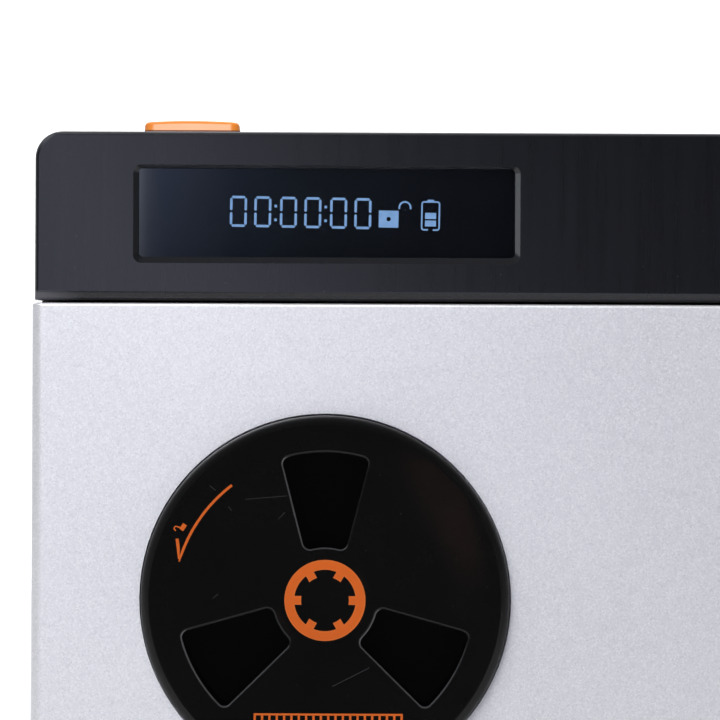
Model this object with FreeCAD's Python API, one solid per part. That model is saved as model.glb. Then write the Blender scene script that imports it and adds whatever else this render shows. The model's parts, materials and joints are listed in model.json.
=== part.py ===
"""Timed lock container: a shallow upright box for phones and other small things.

A black moulded housing holds the storage chamber below and the control head above. The head carries
the display, the button, the battery and a solenoid. A silver tray-shaped door closes the chamber. It
swings on one steel pin at the right, and a quarter turn of its round knob drives a steel bolt up
into the head, where the solenoid's plunger can bar it until the time has run out.

Millimetres. +X to the right and +Z up as the user faces the box, which looks along +Y. The origin is
the middle of the footprint, on the surface that the box stands on. The box is modelled closed and
unlocked: the bolt is drawn in, the plunger is back and the button is up.
"""

import FreeCAD
import Part

import math
import os

V = FreeCAD.Vector

# ---------------------------------------------------------------- driving dimensions

# Box
WIDTH = 190.0                 # over the door
DOOR_HEIGHT = 95.5
HEAD_HEIGHT = 27.3
SEAM_GAP = 0.4                # between the door's top edge and the head
DOOR_DEPTH = 14.0             # front face to the housing's front plane
HOUSING_DEPTH = 36.0
SIDE_STEP = 0.5               # the housing is this much narrower than the door, each side
CORNER_R = 4.4                # outer corners, seen from the front
CHAMBER_CORNER_R = 2.2
REAR_EDGE_R = 1.6
WALL = 2.0                    # moulded walls
HOUSING_WALL = 2.4
SHELF = 2.4                   # floor of the head, above the chamber
FIT = 0.3                     # loose fit between pieces
TOUCH = 0.05                  # pieces that are screwed or pressed together

# Feet
FOOT_PROUD = 1.8
FOOT_R = 5.0
FOOT_SEAT = 0.8
FOOT_INSET_X = 15.0
FOOT_INSET_Y = 6.2

# Door
DOOR_GAP = 0.5                # between the door's rim and the housing
DOOR_EDGE_R = 1.8             # front edge at the left, right and bottom
DOOR_TOP_EDGE_R = 0.5
LINER = 1.6
LINER_FIT = 0.25
BOSS_R = 3.0
PILOT_R = 1.0

# Knob
KNOB_R = 29.7
KNOB_PROUD = 3.0
KNOB_EDGE_R = 1.35
KNOB_DISH = 0.5               # the face falls this much from the rim to the hub
KNOB_PLATE = 2.0
KNOB_SKIRT = 2.0
HUB_R = 8.0
HUB_FLAT_R = 7.3
SPINDLE_R = 5.0
DRIVE_SIDE = 7.0
WELL_DEPTH = 5.5
WELL_FLOOR = 1.5
WELL_GAP = 0.3
WELL_WALL = 1.6

# Finger pockets in the knob
POCKETS = 3
POCKET_OUTER_R = 23.8
POCKET_INNER_R = 8.5
POCKET_HALF_ANGLE = 14.5      # each side's slope from the pocket's own middle line
POCKET_SIDE_OFFSET = 1.2      # each side passes the knob's centre at this distance
POCKET_DEPTH = 5.0
POCKET_CORNER_R = 1.2
POCKET_LIP_R = 0.35
POCKET_CUP_WALL = 1.2

# Toothed ring let into the hub
RING_OUTER_R = 6.52
RING_INNER_R = 4.95
RING_TOOTH_R = 3.85
RING_TOOTH_WIDTH = 1.4
RING_TEETH = 6
RING_DEPTH = 0.6

# Boltwork
CAM_R = 25.0
CAM_THICK = 1.5
WASHER_THICK = 0.6
CAM_TURN = 90.0               # degrees from unlocked to locked
CAM_START_R = 10.5            # follower's distance from the knob's axis, unlocked
BOLT_STROKE = 10.0
BOLT_WIDTH = 10.0
BOLT_THICK = 2.5
BOLT_SETBACK = 0.3            # the drawn-in bolt ends this far below the door's edge
BOLT_HOLE_R = 1.6
BOLT_HOLE_FROM_TIP = 2.8
BOLT_TIP_CHAMFER = 0.8
FOLLOWER_R = 2.0
STUD_R = 1.4                  # the follower's riveted end in the bolt
SLOT_FIT = 0.15
GUIDE_LENGTH = 14.0
GUIDE_SIDE = 7.0
GUIDE_BRIDGE = 1.2

# Hinge
HINGE_INSET = 3.4             # pin axis from the door's right face
BARREL_R = 3.2
PIN_R = 1.5
PIN_RUNNING_FIT = 0.08
HINGE_RELIEF_R = 5.4          # what the other leaf sweeps past the axis
HINGE_ROOT_R = 6.9
KNUCKLES = 5
KNUCKLE_GAP = 0.3
END_KNUCKLE = 3.0
PIN_END_SETBACK = 1.2

# Head: display window, lens and display
WINDOW_WIDTH = 62.5
WINDOW_FROM_LEFT = 16.35      # its left edge. Display, knob and bolt share its middle line
WINDOW_HEIGHT = 15.9
WINDOW_BELOW_TOP = 13.05      # the middle of what shows of the lens
WINDOW_DEPTH = 1.0
WINDOW_BEVEL = 0.8            # width of the bevel at the sides
WINDOW_BEVEL_TOP = 0.5
WINDOW_BEVEL_FOOT = 1.0
WINDOW_BEVEL_DEPTH = 0.7
WINDOW_CORNER_R = 0.9
HEAD_EDGE_R = 0.6
HEAD_LOWER_EDGE_R = 1.5
LENS_THICK = 1.4
LENS_LEDGE = 1.4
DISPLAY_DEPTH = 3.0
DISPLAY_FRAME_WALL = 1.4
DISPLAY_GLASS = 2.0
BOARD_THICK = 1.6
BOARD_POST_R = 2.0
BOARD_POST_OUT = 2.6          # post centre beyond the display frame
BOARD_POST_DOWN = 2.0         # post centre below the board's top edge
PROCESSOR_SIDE = 7.0
DRIVER_SIDE = 4.6
CHIP_HEIGHT = 1.0

# Button and its switch
BUTTON_FROM_WINDOW = 9.25     # the button's middle, inwards from the window's left edge
BUTTON_WIDTH = 15.5
BUTTON_LENGTH = 7.0
BUTTON_PROUD = 2.0
BUTTON_LEAN = 0.7             # its front and rear lean in by this much above the head
BUTTON_SIDE_LEAN = 0.05
BUTTON_CROWN = 0.25
BUTTON_EDGE_R = 0.7
BUTTON_CORNER_R = 1.6
BUTTON_FIT = 0.2
BUTTON_TRAVEL = 0.8
BUTTON_FLANGE = 1.0
BUTTON_STEM_R = 1.5
SWITCH_SIDE = 6.0
SWITCH_THICK = 4.0
SWITCH_PLUNGER_R = 1.3
SWITCH_PLUNGER_PROUD = 1.1

# Lock: strike plate and solenoid
STRIKE_THICK = 1.2
STRIKE_WIDTH = 28.0
PLUNGER_R = 1.3
PLUNGER_STROKE = 4.0
PLUNGER_STANDOFF = 1.0        # plunger tip behind the bolt, drawn back
SOLENOID_WIDTH = 10.0
SOLENOID_LENGTH = 18.0
SOLENOID_FROM_BOLT = 5.0
SOLENOID_SHEET = 1.0
COIL_R = 3.1
SPRING_LENGTH = 7.5           # plunger drawn back
SPRING_WIRE_R = 0.2
SPRING_TURNS = 6
CLIP_THICK = 0.6
CLIP_R = 2.6
SOLENOID_LUG = 4.6

# Power
CELL_R = 9.0
CELL_LENGTH = 65.0
CELL_FROM_RIGHT = 24.5        # its far end
CRADLE_WALL = 1.8
CRADLE_END = 14.0             # full-height wall left at each end of the cradle
CONTACT_THICK = 0.4
PORT_WIDTH = 9.0
PORT_HEIGHT = 3.2
PORT_LENGTH = 7.4
PORT_WALL = 0.3
PORT_TONGUE = 0.7
PORT_FROM_LEFT = 23.0
PORT_ABOVE_SHELF = 9.0
PORT_BOARD_THICK = 1.2
PORT_BOARD_WIDTH = 17.0
PORT_BOARD_LENGTH = 13.0
PORT_POST_R = 2.2

# Fasteners
SCREW_R = 1.1
SCREW_HEAD_R = 2.1
SCREW_HEAD = 1.4
SCREW_GRIP = 3.0              # thread below what each small screw holds
LINER_SCREW_GRIP = 3.4
SCREW_FIT = 0.02
CAM_SCREW_LENGTH = 6.0
CAM_SCREW_HEAD_R = 2.8
CASE_SCREW_R = 1.4
CASE_SCREW_HEAD_R = 2.5
CASE_SCREW_HEAD = 2.0
CASE_SCREW_LENGTH = 16.0
CASE_BOSS_R = 3.3
CASE_BOSS_INSET = 7.0
CASE_BOSS_SINK = 0.7          # how far each boss reaches into the wall above or below it

# ---------------------------------------------------------------- places worked out from them

Y_FRONT = -(KNOB_PROUD + DOOR_DEPTH + HOUSING_DEPTH) / 2 + KNOB_PROUD
Y_SEAM = Y_FRONT + DOOR_DEPTH
Y_BACK = Y_SEAM + HOUSING_DEPTH
Y_RIM = Y_SEAM - DOOR_GAP                     # the door's rear plane
Z_BASE = FOOT_PROUD
Z_DOOR_TOP = Z_BASE + DOOR_HEIGHT
Z_HEAD = Z_DOOR_TOP + SEAM_GAP
Z_TOP = Z_HEAD + HEAD_HEIGHT
Z_SHELF = Z_HEAD + SHELF                      # top of the head's floor
X_DOOR = WIDTH / 2
X_CASE = X_DOOR - SIDE_STEP

KNOB_X = -X_DOOR + WINDOW_FROM_LEFT + WINDOW_WIDTH / 2
KNOB_Z = Z_BASE + DOOR_HEIGHT / 2
Y_WELL = Y_FRONT + WELL_DEPTH
Y_CAM = Y_WELL + WELL_FLOOR + FIT
Y_BOLT = Y_CAM + CAM_THICK + FIT
Y_BOLT_BACK = Y_BOLT + BOLT_THICK
Y_LINER = Y_RIM - LINER
WELL_R = KNOB_R + WELL_GAP
BOLT_TOP = Z_DOOR_TOP - BOLT_SETBACK
BOLT_FOOT = KNOB_Z + CAM_START_R - FOLLOWER_R - 2.0
GUIDE_FOOT = KNOB_Z + CAM_R + 2.0
GUIDE_PAD = 2 * SCREW_HEAD_R

HINGE_X = X_DOOR - HINGE_INSET
HINGE_Y = Y_SEAM - DOOR_GAP / 2

WINDOW_Z = Z_TOP - WINDOW_BELOW_TOP
Y_LENS = Y_FRONT + WINDOW_DEPTH
Y_DISPLAY = Y_LENS + LENS_THICK + TOUCH
Y_BOARD = Y_DISPLAY + DISPLAY_DEPTH + TOUCH
Y_BOARD_BACK = Y_BOARD + BOARD_THICK
LENS_SIGHT_W = WINDOW_WIDTH - 2 * WINDOW_BEVEL
LENS_SIGHT_H = WINDOW_HEIGHT - WINDOW_BEVEL_TOP - WINDOW_BEVEL_FOOT
FRAME_W = LENS_SIGHT_W + 2 * DISPLAY_FRAME_WALL
FRAME_H = LENS_SIGHT_H + 2 * DISPLAY_FRAME_WALL
BOARD_POST_X = FRAME_W / 2 + BOARD_POST_OUT
BOARD_HALF_W = BOARD_POST_X + BOARD_POST_R
BOARD_TOP = WINDOW_Z + FRAME_H / 2
BOARD_FOOT = WINDOW_Z - FRAME_H / 2
BOARD_POST_Z = (BOARD_FOOT + BOARD_POST_DOWN, BOARD_TOP - BOARD_POST_DOWN)

BUTTON_X = -X_DOOR + WINDOW_FROM_LEFT + BUTTON_FROM_WINDOW
BUTTON_Y = Y_FRONT + DOOR_DEPTH / 2
BUTTON_TOP = Z_TOP + BUTTON_PROUD
FLANGE_TOP = Z_TOP - WALL - TOUCH
FLANGE_FOOT = FLANGE_TOP - BUTTON_FLANGE
SWITCH_Y = Y_BOARD_BACK + SWITCH_THICK / 2
SWITCH_TOP = BOARD_TOP - BUTTON_TRAVEL - SWITCH_PLUNGER_PROUD
PLUNGER_TIP_Z = SWITCH_TOP + SWITCH_PLUNGER_PROUD

LOCK_Z = BOLT_TOP + BOLT_STROKE - BOLT_HOLE_FROM_TIP
SOLENOID_FOOT = Z_SHELF
SOLENOID_TOP = 2 * LOCK_Z - SOLENOID_FOOT
SOLENOID_Y = Y_BOLT_BACK + SOLENOID_FROM_BOLT
SOLENOID_BACK = SOLENOID_Y + SOLENOID_LENGTH
PLUNGER_TIP = Y_BOLT_BACK + PLUNGER_STANDOFF
CLIP_Y = SOLENOID_BACK + SPRING_LENGTH
PLUNGER_TAIL = CLIP_Y + 2 * CLIP_THICK

CELL_X = X_DOOR - CELL_FROM_RIGHT - CELL_LENGTH
CELL_Y = (Y_SEAM + Y_BACK - HOUSING_WALL) / 2
CELL_Z = Z_SHELF + CRADLE_WALL + CELL_R + TOUCH

PORT_X = -X_DOOR + PORT_FROM_LEFT
PORT_Z = Z_SHELF + PORT_ABOVE_SHELF
CASE_SCREW_X = X_CASE - CASE_BOSS_INSET
CASE_SCREW_Z = (Z_SHELF + CASE_BOSS_R - CASE_BOSS_SINK, Z_TOP - HOUSING_WALL - CASE_BOSS_R + CASE_BOSS_SINK)
LINER_SCREW_X = (-X_DOOR + WALL + BOSS_R + 1.5, 0.0, HINGE_X - HINGE_ROOT_R - BOSS_R - 2.0)
LINER_SCREW_Z = (Z_BASE + WALL + BOSS_R + 1.5, Z_DOOR_TOP - WALL - BOSS_R - 1.5)


# ---------------------------------------------------------------- shape helpers

def box(x0, x1, y0, y1, z0, z1):
    """Block between two corners."""
    return Part.makeBox(x1 - x0, y1 - y0, z1 - z0, V(x0, y0, z0))


def rod_x(y, z, radius, x0, x1):
    return Part.makeCylinder(radius, x1 - x0, V(x0, y, z), V(1, 0, 0))


def rod_y(x, z, radius, y0, y1):
    return Part.makeCylinder(radius, y1 - y0, V(x, y0, z), V(0, 1, 0))


def rod_z(x, y, radius, z0, z1):
    return Part.makeCylinder(radius, z1 - z0, V(x, y, z0), V(0, 0, 1))


def fuse(shapes):
    """One solid from touching or overlapping shapes, with the seams between flat faces removed."""
    first, rest = shapes[0], list(shapes[1:])
    return first.fuse(rest).removeSplitter() if rest else first


def cut(shape, tools):
    return shape.cut(list(tools))


def corner_wire(x0, x1, z0, z1, radii, y=0.0):
    """Rectangle in the X-Z plane. radii are those of its corners, from lower left, counter-clockwise."""
    corners = [(x0, z0), (x1, z0), (x1, z1), (x0, z1)]
    ways = [(0, -1), (1, 0), (0, 1), (-1, 0)]           # the way each corner is reached
    edges, last, first = [], None, None
    for i, ((cx, cz), radius) in enumerate(zip(corners, radii)):
        way_in, way_out = ways[i], ways[(i + 1) % 4]
        start = V(cx - way_in[0] * radius, y, cz - way_in[1] * radius)
        end = V(cx + way_out[0] * radius, y, cz + way_out[1] * radius)
        if last is not None and (start - last).Length > 1e-6:
            edges.append(Part.LineSegment(last, start).toShape())
        if radius > 0:
            hub = V(start.x + way_out[0] * radius, y, start.z + way_out[1] * radius)
            half = radius / math.sqrt(2)
            middle = V(hub.x + (way_in[0] - way_out[0]) * half, y,
                       hub.z + (way_in[1] - way_out[1]) * half)
            edges.append(Part.Arc(start, middle, end).toShape())
        first = first or start
        last = end
    edges.append(Part.LineSegment(last, first).toShape())
    return Part.Wire(edges)


def plate_y(x0, x1, z0, z1, y0, y1, radius=0.0, radii=None):
    """Plate with rounded corners, facing along Y."""
    wire = corner_wire(x0, x1, z0, z1, radii or [radius] * 4, y0)
    return Part.Face(wire).extrude(V(0, y1 - y0, 0))


def plate_z(x0, x1, y0, y1, z0, z1, radius):
    """Plate with rounded corners, facing along Z."""
    flat = plate_y(x0, x1, y0, y1, 0, z1 - z0, radius)
    flat.rotate(V(0, 0, 0), V(1, 0, 0), 90)
    flat = flat.mirror(V(0, 0, 0), V(0, 0, 1)) if flat.BoundBox.ZMax <= 0 else flat
    flat.translate(V(0, y0 - flat.BoundBox.YMin, z0 - flat.BoundBox.ZMin))
    return flat


def turned(points, x, z):
    """Solid of revolution about the Y line through (x, z). points are (radius, y), or a pair of them
    for an arc: the point that it passes and the point where it ends."""
    edges, last = [], V(points[0][0], points[0][1], 0)
    for entry in points[1:]:
        if isinstance(entry[0], tuple):
            middle, end = (V(r, y, 0) for r, y in entry)
            edges.append(Part.Arc(last, middle, end).toShape())
        else:
            end = V(entry[0], entry[1], 0)
            edges.append(Part.LineSegment(last, end).toShape())
        last = end
    edges.append(Part.LineSegment(last, V(points[0][0], points[0][1], 0)).toShape())
    solid = Part.Face(Part.Wire(edges)).revolve(V(0, 0, 0), V(0, 1, 0), 360)
    solid.translate(V(x, 0, z))
    return solid


def edges_in(shape, x=None, y=None, z=None, slack=0.02):
    """Edges whose whole bounding box lies within the given ranges."""
    found = []
    for edge in shape.Edges:
        b = edge.BoundBox
        spans = ((x, b.XMin, b.XMax), (y, b.YMin, b.YMax), (z, b.ZMin, b.ZMax))
        if all(r is None or (r[0] - slack <= low and high <= r[1] + slack) for r, low, high in spans):
            found.append(edge)
    return found


def compound(shapes):
    return Part.makeCompound(list(shapes))


# ---------------------------------------------------------------- fasteners

def screw_y(x, z, y_head, length, radius=SCREW_R, head_r=SCREW_HEAD_R, head=SCREW_HEAD, way=-1):
    """Pan-head screw along Y. y_head is the seat under its head, and way the way its shank points."""
    tip = y_head + way * length
    shank = rod_y(x, z, radius - TOUCH, min(y_head, tip), max(y_head, tip))
    top = y_head - way * head
    cap = rod_y(x, z, head_r, min(y_head, top), max(y_head, top))
    cap = cap.makeFillet(head * 0.4, edges_in(cap, y=(top, top)))
    drive = [box(x - w, x + w, min(top, top + way * head / 2), max(top, top + way * head / 2), z - h, z + h)
             for w, h in ((head_r * 0.6, head_r * 0.14), (head_r * 0.14, head_r * 0.6))]
    return cut(fuse([cap, shank]), drive)


def screw_z(x, y, z_head, length):
    """Small pan-head screw that points down."""
    shank = rod_z(x, y, SCREW_R - TOUCH, z_head - length, z_head)
    cap = rod_z(x, y, SCREW_HEAD_R, z_head, z_head + SCREW_HEAD)
    return fuse([cap, shank])


# ---------------------------------------------------------------- hinge

def knuckle_zones():
    """(low, high, who) of each knuckle along the pin, from the bottom of the door up."""
    low, high = Z_BASE, Z_DOOR_TOP
    zones = [(low, low + END_KNUCKLE, "door")]
    start, end = low + END_KNUCKLE + KNUCKLE_GAP, high - END_KNUCKLE - KNUCKLE_GAP
    length = (end - start - (KNUCKLES - 1) * KNUCKLE_GAP) / KNUCKLES
    for i in range(KNUCKLES):
        foot = start + i * (length + KNUCKLE_GAP)
        zones.append((foot, foot + length, "housing" if i % 2 == 0 else "door"))
    zones.append((high - END_KNUCKLE, high, "door"))
    return zones


def hinge_root(z0, z1, y0, y1):
    """Solid corner round the hinge axis, between two Y planes."""
    root = rod_z(HINGE_X, HINGE_Y, HINGE_ROOT_R, z0, z1)
    return root.common(box(HINGE_X - HINGE_ROOT_R, X_DOOR, y0, y1, z0, z1))


def leaf(shell, who, bore, y0, y1, x_face):
    """shell with this leaf's knuckles, cleared where the other leaf's knuckles turn. What is added
    keeps inside the leaf's outline: x_face is its right face."""
    other = [(a, b) for a, b, owner in knuckle_zones() if owner != who]
    own = [(a, b) for a, b, owner in knuckle_zones() if owner == who]
    outline = plate_y(-x_face, x_face, Z_BASE, Z_DOOR_TOP, Y_FRONT, Y_BACK, radii=[CORNER_R, CORNER_R, 0, 0])
    shell = fuse([shell, hinge_root(Z_BASE, Z_DOOR_TOP, y0, y1).common(outline)])
    relief = [rod_z(HINGE_X, HINGE_Y, HINGE_RELIEF_R, a - KNUCKLE_GAP, b + KNUCKLE_GAP) for a, b in other]
    relief.append(rod_z(HINGE_X, HINGE_Y, BARREL_R + FIT, Z_BASE - 1, Z_DOOR_TOP + SEAM_GAP / 2))
    shell = cut(shell, relief)
    for low, high in own:
        barrel = fuse([rod_z(HINGE_X, HINGE_Y, BARREL_R, low, high), hinge_root(low, high, y0, y1)])
        barrel = cut(barrel.common(outline), [rod_z(HINGE_X, HINGE_Y, bore, low - 1, high + 1)])
        shell = fuse([shell, barrel])
    return shell


def hinge_pin():
    low, high = Z_BASE + PIN_END_SETBACK, Z_DOOR_TOP - PIN_END_SETBACK
    pin = rod_z(HINGE_X, HINGE_Y, PIN_R, low, high)
    return pin.makeChamfer(PIN_R / 4, edges_in(pin, z=(low, low)) + edges_in(pin, z=(high, high)))


# ---------------------------------------------------------------- housing

def case_bosses(y0, y1):
    return [rod_y(side * CASE_SCREW_X, z, CASE_BOSS_R, y0, y1) for side in (-1, 1) for z in CASE_SCREW_Z]


def rear_housing():
    """Black moulding: the chamber, the shelf above it and the rear half of the head."""
    body = plate_y(-X_CASE, X_CASE, Z_BASE, Z_TOP, Y_SEAM, Y_BACK, CORNER_R)
    body = body.makeFillet(REAR_EDGE_R, edges_in(body, y=(Y_BACK, Y_BACK)))
    inside = X_CASE - HOUSING_WALL
    y_floor = Y_BACK - HOUSING_WALL
    chamber = plate_y(-inside, inside, Z_BASE + HOUSING_WALL, Z_HEAD, Y_SEAM - 1, y_floor, CHAMBER_CORNER_R)
    head = plate_y(-inside, inside, Z_SHELF, Z_TOP - HOUSING_WALL, Y_SEAM - 1, y_floor, CHAMBER_CORNER_R)
    body = cut(body, [chamber, head])

    ring = head.common(box(-inside, inside, Y_SEAM, y_floor, Z_SHELF, Z_TOP))
    bosses = [b.common(ring) for b in case_bosses(Y_SEAM, y_floor)]
    posts = [rod_z(x, y, PORT_POST_R, Z_SHELF, PORT_Z - PORT_HEIGHT / 2 - PORT_BOARD_THICK)
             for x, y in port_screw_places()]
    body = fuse([body] + bosses + posts)
    body = leaf(body, "housing", PIN_R + TOUCH / 2, Y_SEAM, Y_SEAM + HINGE_ROOT_R, X_CASE)

    seat = Y_SEAM + CASE_SCREW_LENGTH / 2
    tools = []
    for side in (-1, 1):
        for z in CASE_SCREW_Z:
            tools.append(rod_y(side * CASE_SCREW_X, z, CASE_SCREW_R + TOUCH, Y_SEAM - 1, Y_BACK + 1))
            tools.append(rod_y(side * CASE_SCREW_X, z, CASE_SCREW_HEAD_R + FIT / 2, seat, Y_BACK + 1))
    for x, y in port_screw_places():
        tools.append(rod_z(x, y, SCREW_R, Z_SHELF + 1, Z_TOP - HOUSING_WALL - 1))
    for x, y in solenoid_screw_places():
        tools.append(rod_z(x, y, SCREW_R, Z_SHELF - 1.6, Z_SHELF + 1))
    for x, y in foot_places():
        tools.append(rod_z(x, y, FOOT_R + TOUCH, Z_BASE - 1, Z_BASE + FOOT_SEAT))
    tools.append(plate_y(PORT_X - PORT_WIDTH / 2 - FIT, PORT_X + PORT_WIDTH / 2 + FIT,
                         PORT_Z - PORT_HEIGHT / 2 - FIT, PORT_Z + PORT_HEIGHT / 2 + FIT,
                         y_floor - 1, Y_BACK + 1, PORT_HEIGHT / 2))
    return cut(body, tools)


def foot_places():
    x = X_CASE - FOOT_INSET_X
    return [(side * x, y) for side in (-1, 1) for y in (Y_SEAM + FOOT_INSET_Y, Y_BACK - FOOT_INSET_Y)]


def rubber_feet():
    feet = []
    for x, y in foot_places():
        foot = rod_z(x, y, FOOT_R, 0, Z_BASE + FOOT_SEAT)
        feet.append(foot.makeFillet(0.5, edges_in(foot, z=(0, 0))))
    return compound(feet)


def head_bezel():
    """Black front of the head: window, button opening, bolt slot, screw bosses and board posts."""
    body = plate_y(-X_CASE, X_CASE, Z_HEAD, Z_TOP, Y_FRONT, Y_SEAM, radii=[0, 0, CORNER_R, CORNER_R])
    top = edges_in(body, y=(Y_FRONT, Y_FRONT), z=(Z_TOP, Z_TOP))
    body = body.makeFillet(HEAD_EDGE_R, top)
    reach, roll = X_CASE + 1, HEAD_LOWER_EDGE_R
    corner = box(-reach, reach, Y_FRONT - 1, Y_FRONT + roll, Z_HEAD - 1, Z_HEAD + roll)
    body = cut(body, [cut(corner, [rod_x(Y_FRONT + roll, Z_HEAD + roll, roll, -reach, reach)])])

    inner_r = CORNER_R - WALL
    cavity = plate_y(-X_CASE + WALL, X_CASE - WALL, Z_HEAD + WALL, Z_TOP - WALL, Y_FRONT + WALL, Y_SEAM + 1,
                     radii=[HEAD_EDGE_R, HEAD_EDGE_R, inner_r, inner_r])
    solid = body
    body = cut(body, [cavity])
    case = [b.common(solid) for b in case_bosses(Y_FRONT + WALL, Y_SEAM)]
    posts = [rod_y(KNOB_X + side * BOARD_POST_X, z, BOARD_POST_R, Y_FRONT + WALL, Y_BOARD)
             for side in (-1, 1) for z in BOARD_POST_Z]
    ribs = [strike_rib(side) for side in (-1, 1)]
    body = fuse([body] + case + posts + ribs)

    tools = [window_cut(), lens_rebate(),
             plate_z(BUTTON_X - BUTTON_WIDTH / 2 - BUTTON_FIT, BUTTON_X + BUTTON_WIDTH / 2 + BUTTON_FIT,
                     BUTTON_Y - BUTTON_LENGTH / 2 - BUTTON_FIT, BUTTON_Y + BUTTON_LENGTH / 2 + BUTTON_FIT,
                     Z_TOP - WALL - 1, Z_TOP + 1, BUTTON_CORNER_R + BUTTON_FIT),
             bolt_slot(Z_HEAD - 1, Z_HEAD + WALL + 1)]
    for side in (-1, 1):
        for z in CASE_SCREW_Z:
            tools.append(rod_y(side * CASE_SCREW_X, z, CASE_SCREW_R, Y_FRONT + 2 * WALL, Y_SEAM + 1))
        for z in BOARD_POST_Z:
            tools.append(rod_y(KNOB_X + side * BOARD_POST_X, z, SCREW_R, Y_FRONT + WALL, Y_BOARD + 1))
    return cut(body, tools)


def strike_rib(side):
    """Rib beside the strike plate, one on each side."""
    x = KNOB_X + side * (STRIKE_WIDTH / 2 + FIT + STRIKE_THICK / 2)
    return box(x - STRIKE_THICK / 2, x + STRIKE_THICK / 2, Y_FRONT + WALL, Y_SEAM - FIT,
               Z_HEAD + WALL, Z_SHELF + STRIKE_THICK)


def window_cut():
    """Opening for the display: the lens's sight size, with a bevel round its front."""
    def wire(share, y):
        side = share * WINDOW_BEVEL
        return corner_wire(KNOB_X - LENS_SIGHT_W / 2 - side, KNOB_X + LENS_SIGHT_W / 2 + side,
                           WINDOW_Z - LENS_SIGHT_H / 2 - share * WINDOW_BEVEL_FOOT,
                           WINDOW_Z + LENS_SIGHT_H / 2 + share * WINDOW_BEVEL_TOP,
                           [WINDOW_CORNER_R + side / 2] * 4, y)
    bevel = Part.makeLoft([wire(0, Y_FRONT + WINDOW_BEVEL_DEPTH), wire(2, Y_FRONT - WINDOW_BEVEL_DEPTH)], True, True)
    straight = plate_y(KNOB_X - LENS_SIGHT_W / 2, KNOB_X + LENS_SIGHT_W / 2, WINDOW_Z - LENS_SIGHT_H / 2,
                       WINDOW_Z + LENS_SIGHT_H / 2, Y_FRONT, Y_LENS, WINDOW_CORNER_R)
    return fuse([bevel, straight])


def lens_outline(y0, y1, grow=0.0):
    half_w, half_h = LENS_SIGHT_W / 2 + LENS_LEDGE + grow, LENS_SIGHT_H / 2 + LENS_LEDGE + grow
    return plate_y(KNOB_X - half_w, KNOB_X + half_w, WINDOW_Z - half_h, WINDOW_Z + half_h, y0, y1,
                   WINDOW_CORNER_R)


def lens_rebate():
    return lens_outline(Y_LENS, Y_FRONT + WALL + 1, TOUCH)


def display_lens():
    """Smoked window, let in from behind."""
    return lens_outline(Y_LENS, Y_LENS + LENS_THICK)


def display_frame():
    """Carrier round the display glass, against the lens in front and the board behind."""
    outer = box(KNOB_X - FRAME_W / 2, KNOB_X + FRAME_W / 2, Y_DISPLAY, Y_BOARD - TOUCH,
                WINDOW_Z - FRAME_H / 2, WINDOW_Z + FRAME_H / 2)
    return cut(outer, [display_core(Y_DISPLAY - 1, Y_BOARD + 1, 0)])


def display_core(y0, y1, shrink):
    half_w = FRAME_W / 2 - DISPLAY_FRAME_WALL - shrink
    half_h = FRAME_H / 2 - DISPLAY_FRAME_WALL - shrink
    return box(KNOB_X - half_w, KNOB_X + half_w, y0, y1, WINDOW_Z - half_h, WINDOW_Z + half_h)


def display_glass():
    return display_core(Y_DISPLAY, Y_DISPLAY + DISPLAY_GLASS, TOUCH)


def display_backlight():
    return display_core(Y_DISPLAY + DISPLAY_GLASS, Y_BOARD - TOUCH, TOUCH)


def control_board():
    """Circuit board behind the display, with its processor and two driver chips."""
    board = box(KNOB_X - BOARD_HALF_W, KNOB_X + BOARD_HALF_W, Y_BOARD, Y_BOARD_BACK, BOARD_FOOT, BOARD_TOP)
    holes = [rod_y(KNOB_X + side * BOARD_POST_X, z, SCREW_R, Y_BOARD - 1, Y_BOARD_BACK + 1)
             for side in (-1, 1) for z in BOARD_POST_Z]
    chips = [chip(0.42, PROCESSOR_SIDE), chip(0.72, DRIVER_SIDE), chip(-0.22, DRIVER_SIDE)]
    return fuse([cut(board, holes)] + chips)


def chip(across, side):
    """Square package on the board's back. across is its place, from -1 at the board's left end to 1."""
    x = KNOB_X + across * BOARD_HALF_W
    return box(x - side / 2, x + side / 2, Y_BOARD_BACK, Y_BOARD_BACK + CHIP_HEIGHT,
               WINDOW_Z - side / 2, WINDOW_Z + side / 2)


def board_screws():
    return compound(screw_y(KNOB_X + side * BOARD_POST_X, z, Y_BOARD_BACK, BOARD_THICK + SCREW_GRIP)
                    for side in (-1, 1) for z in BOARD_POST_Z)


def case_screws():
    seat = Y_SEAM + CASE_SCREW_LENGTH / 2
    return compound(screw_y(side * CASE_SCREW_X, z, seat, CASE_SCREW_LENGTH, CASE_SCREW_R, CASE_SCREW_HEAD_R,
                            CASE_SCREW_HEAD) for side in (-1, 1) for z in CASE_SCREW_Z)


# ---------------------------------------------------------------- button

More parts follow.
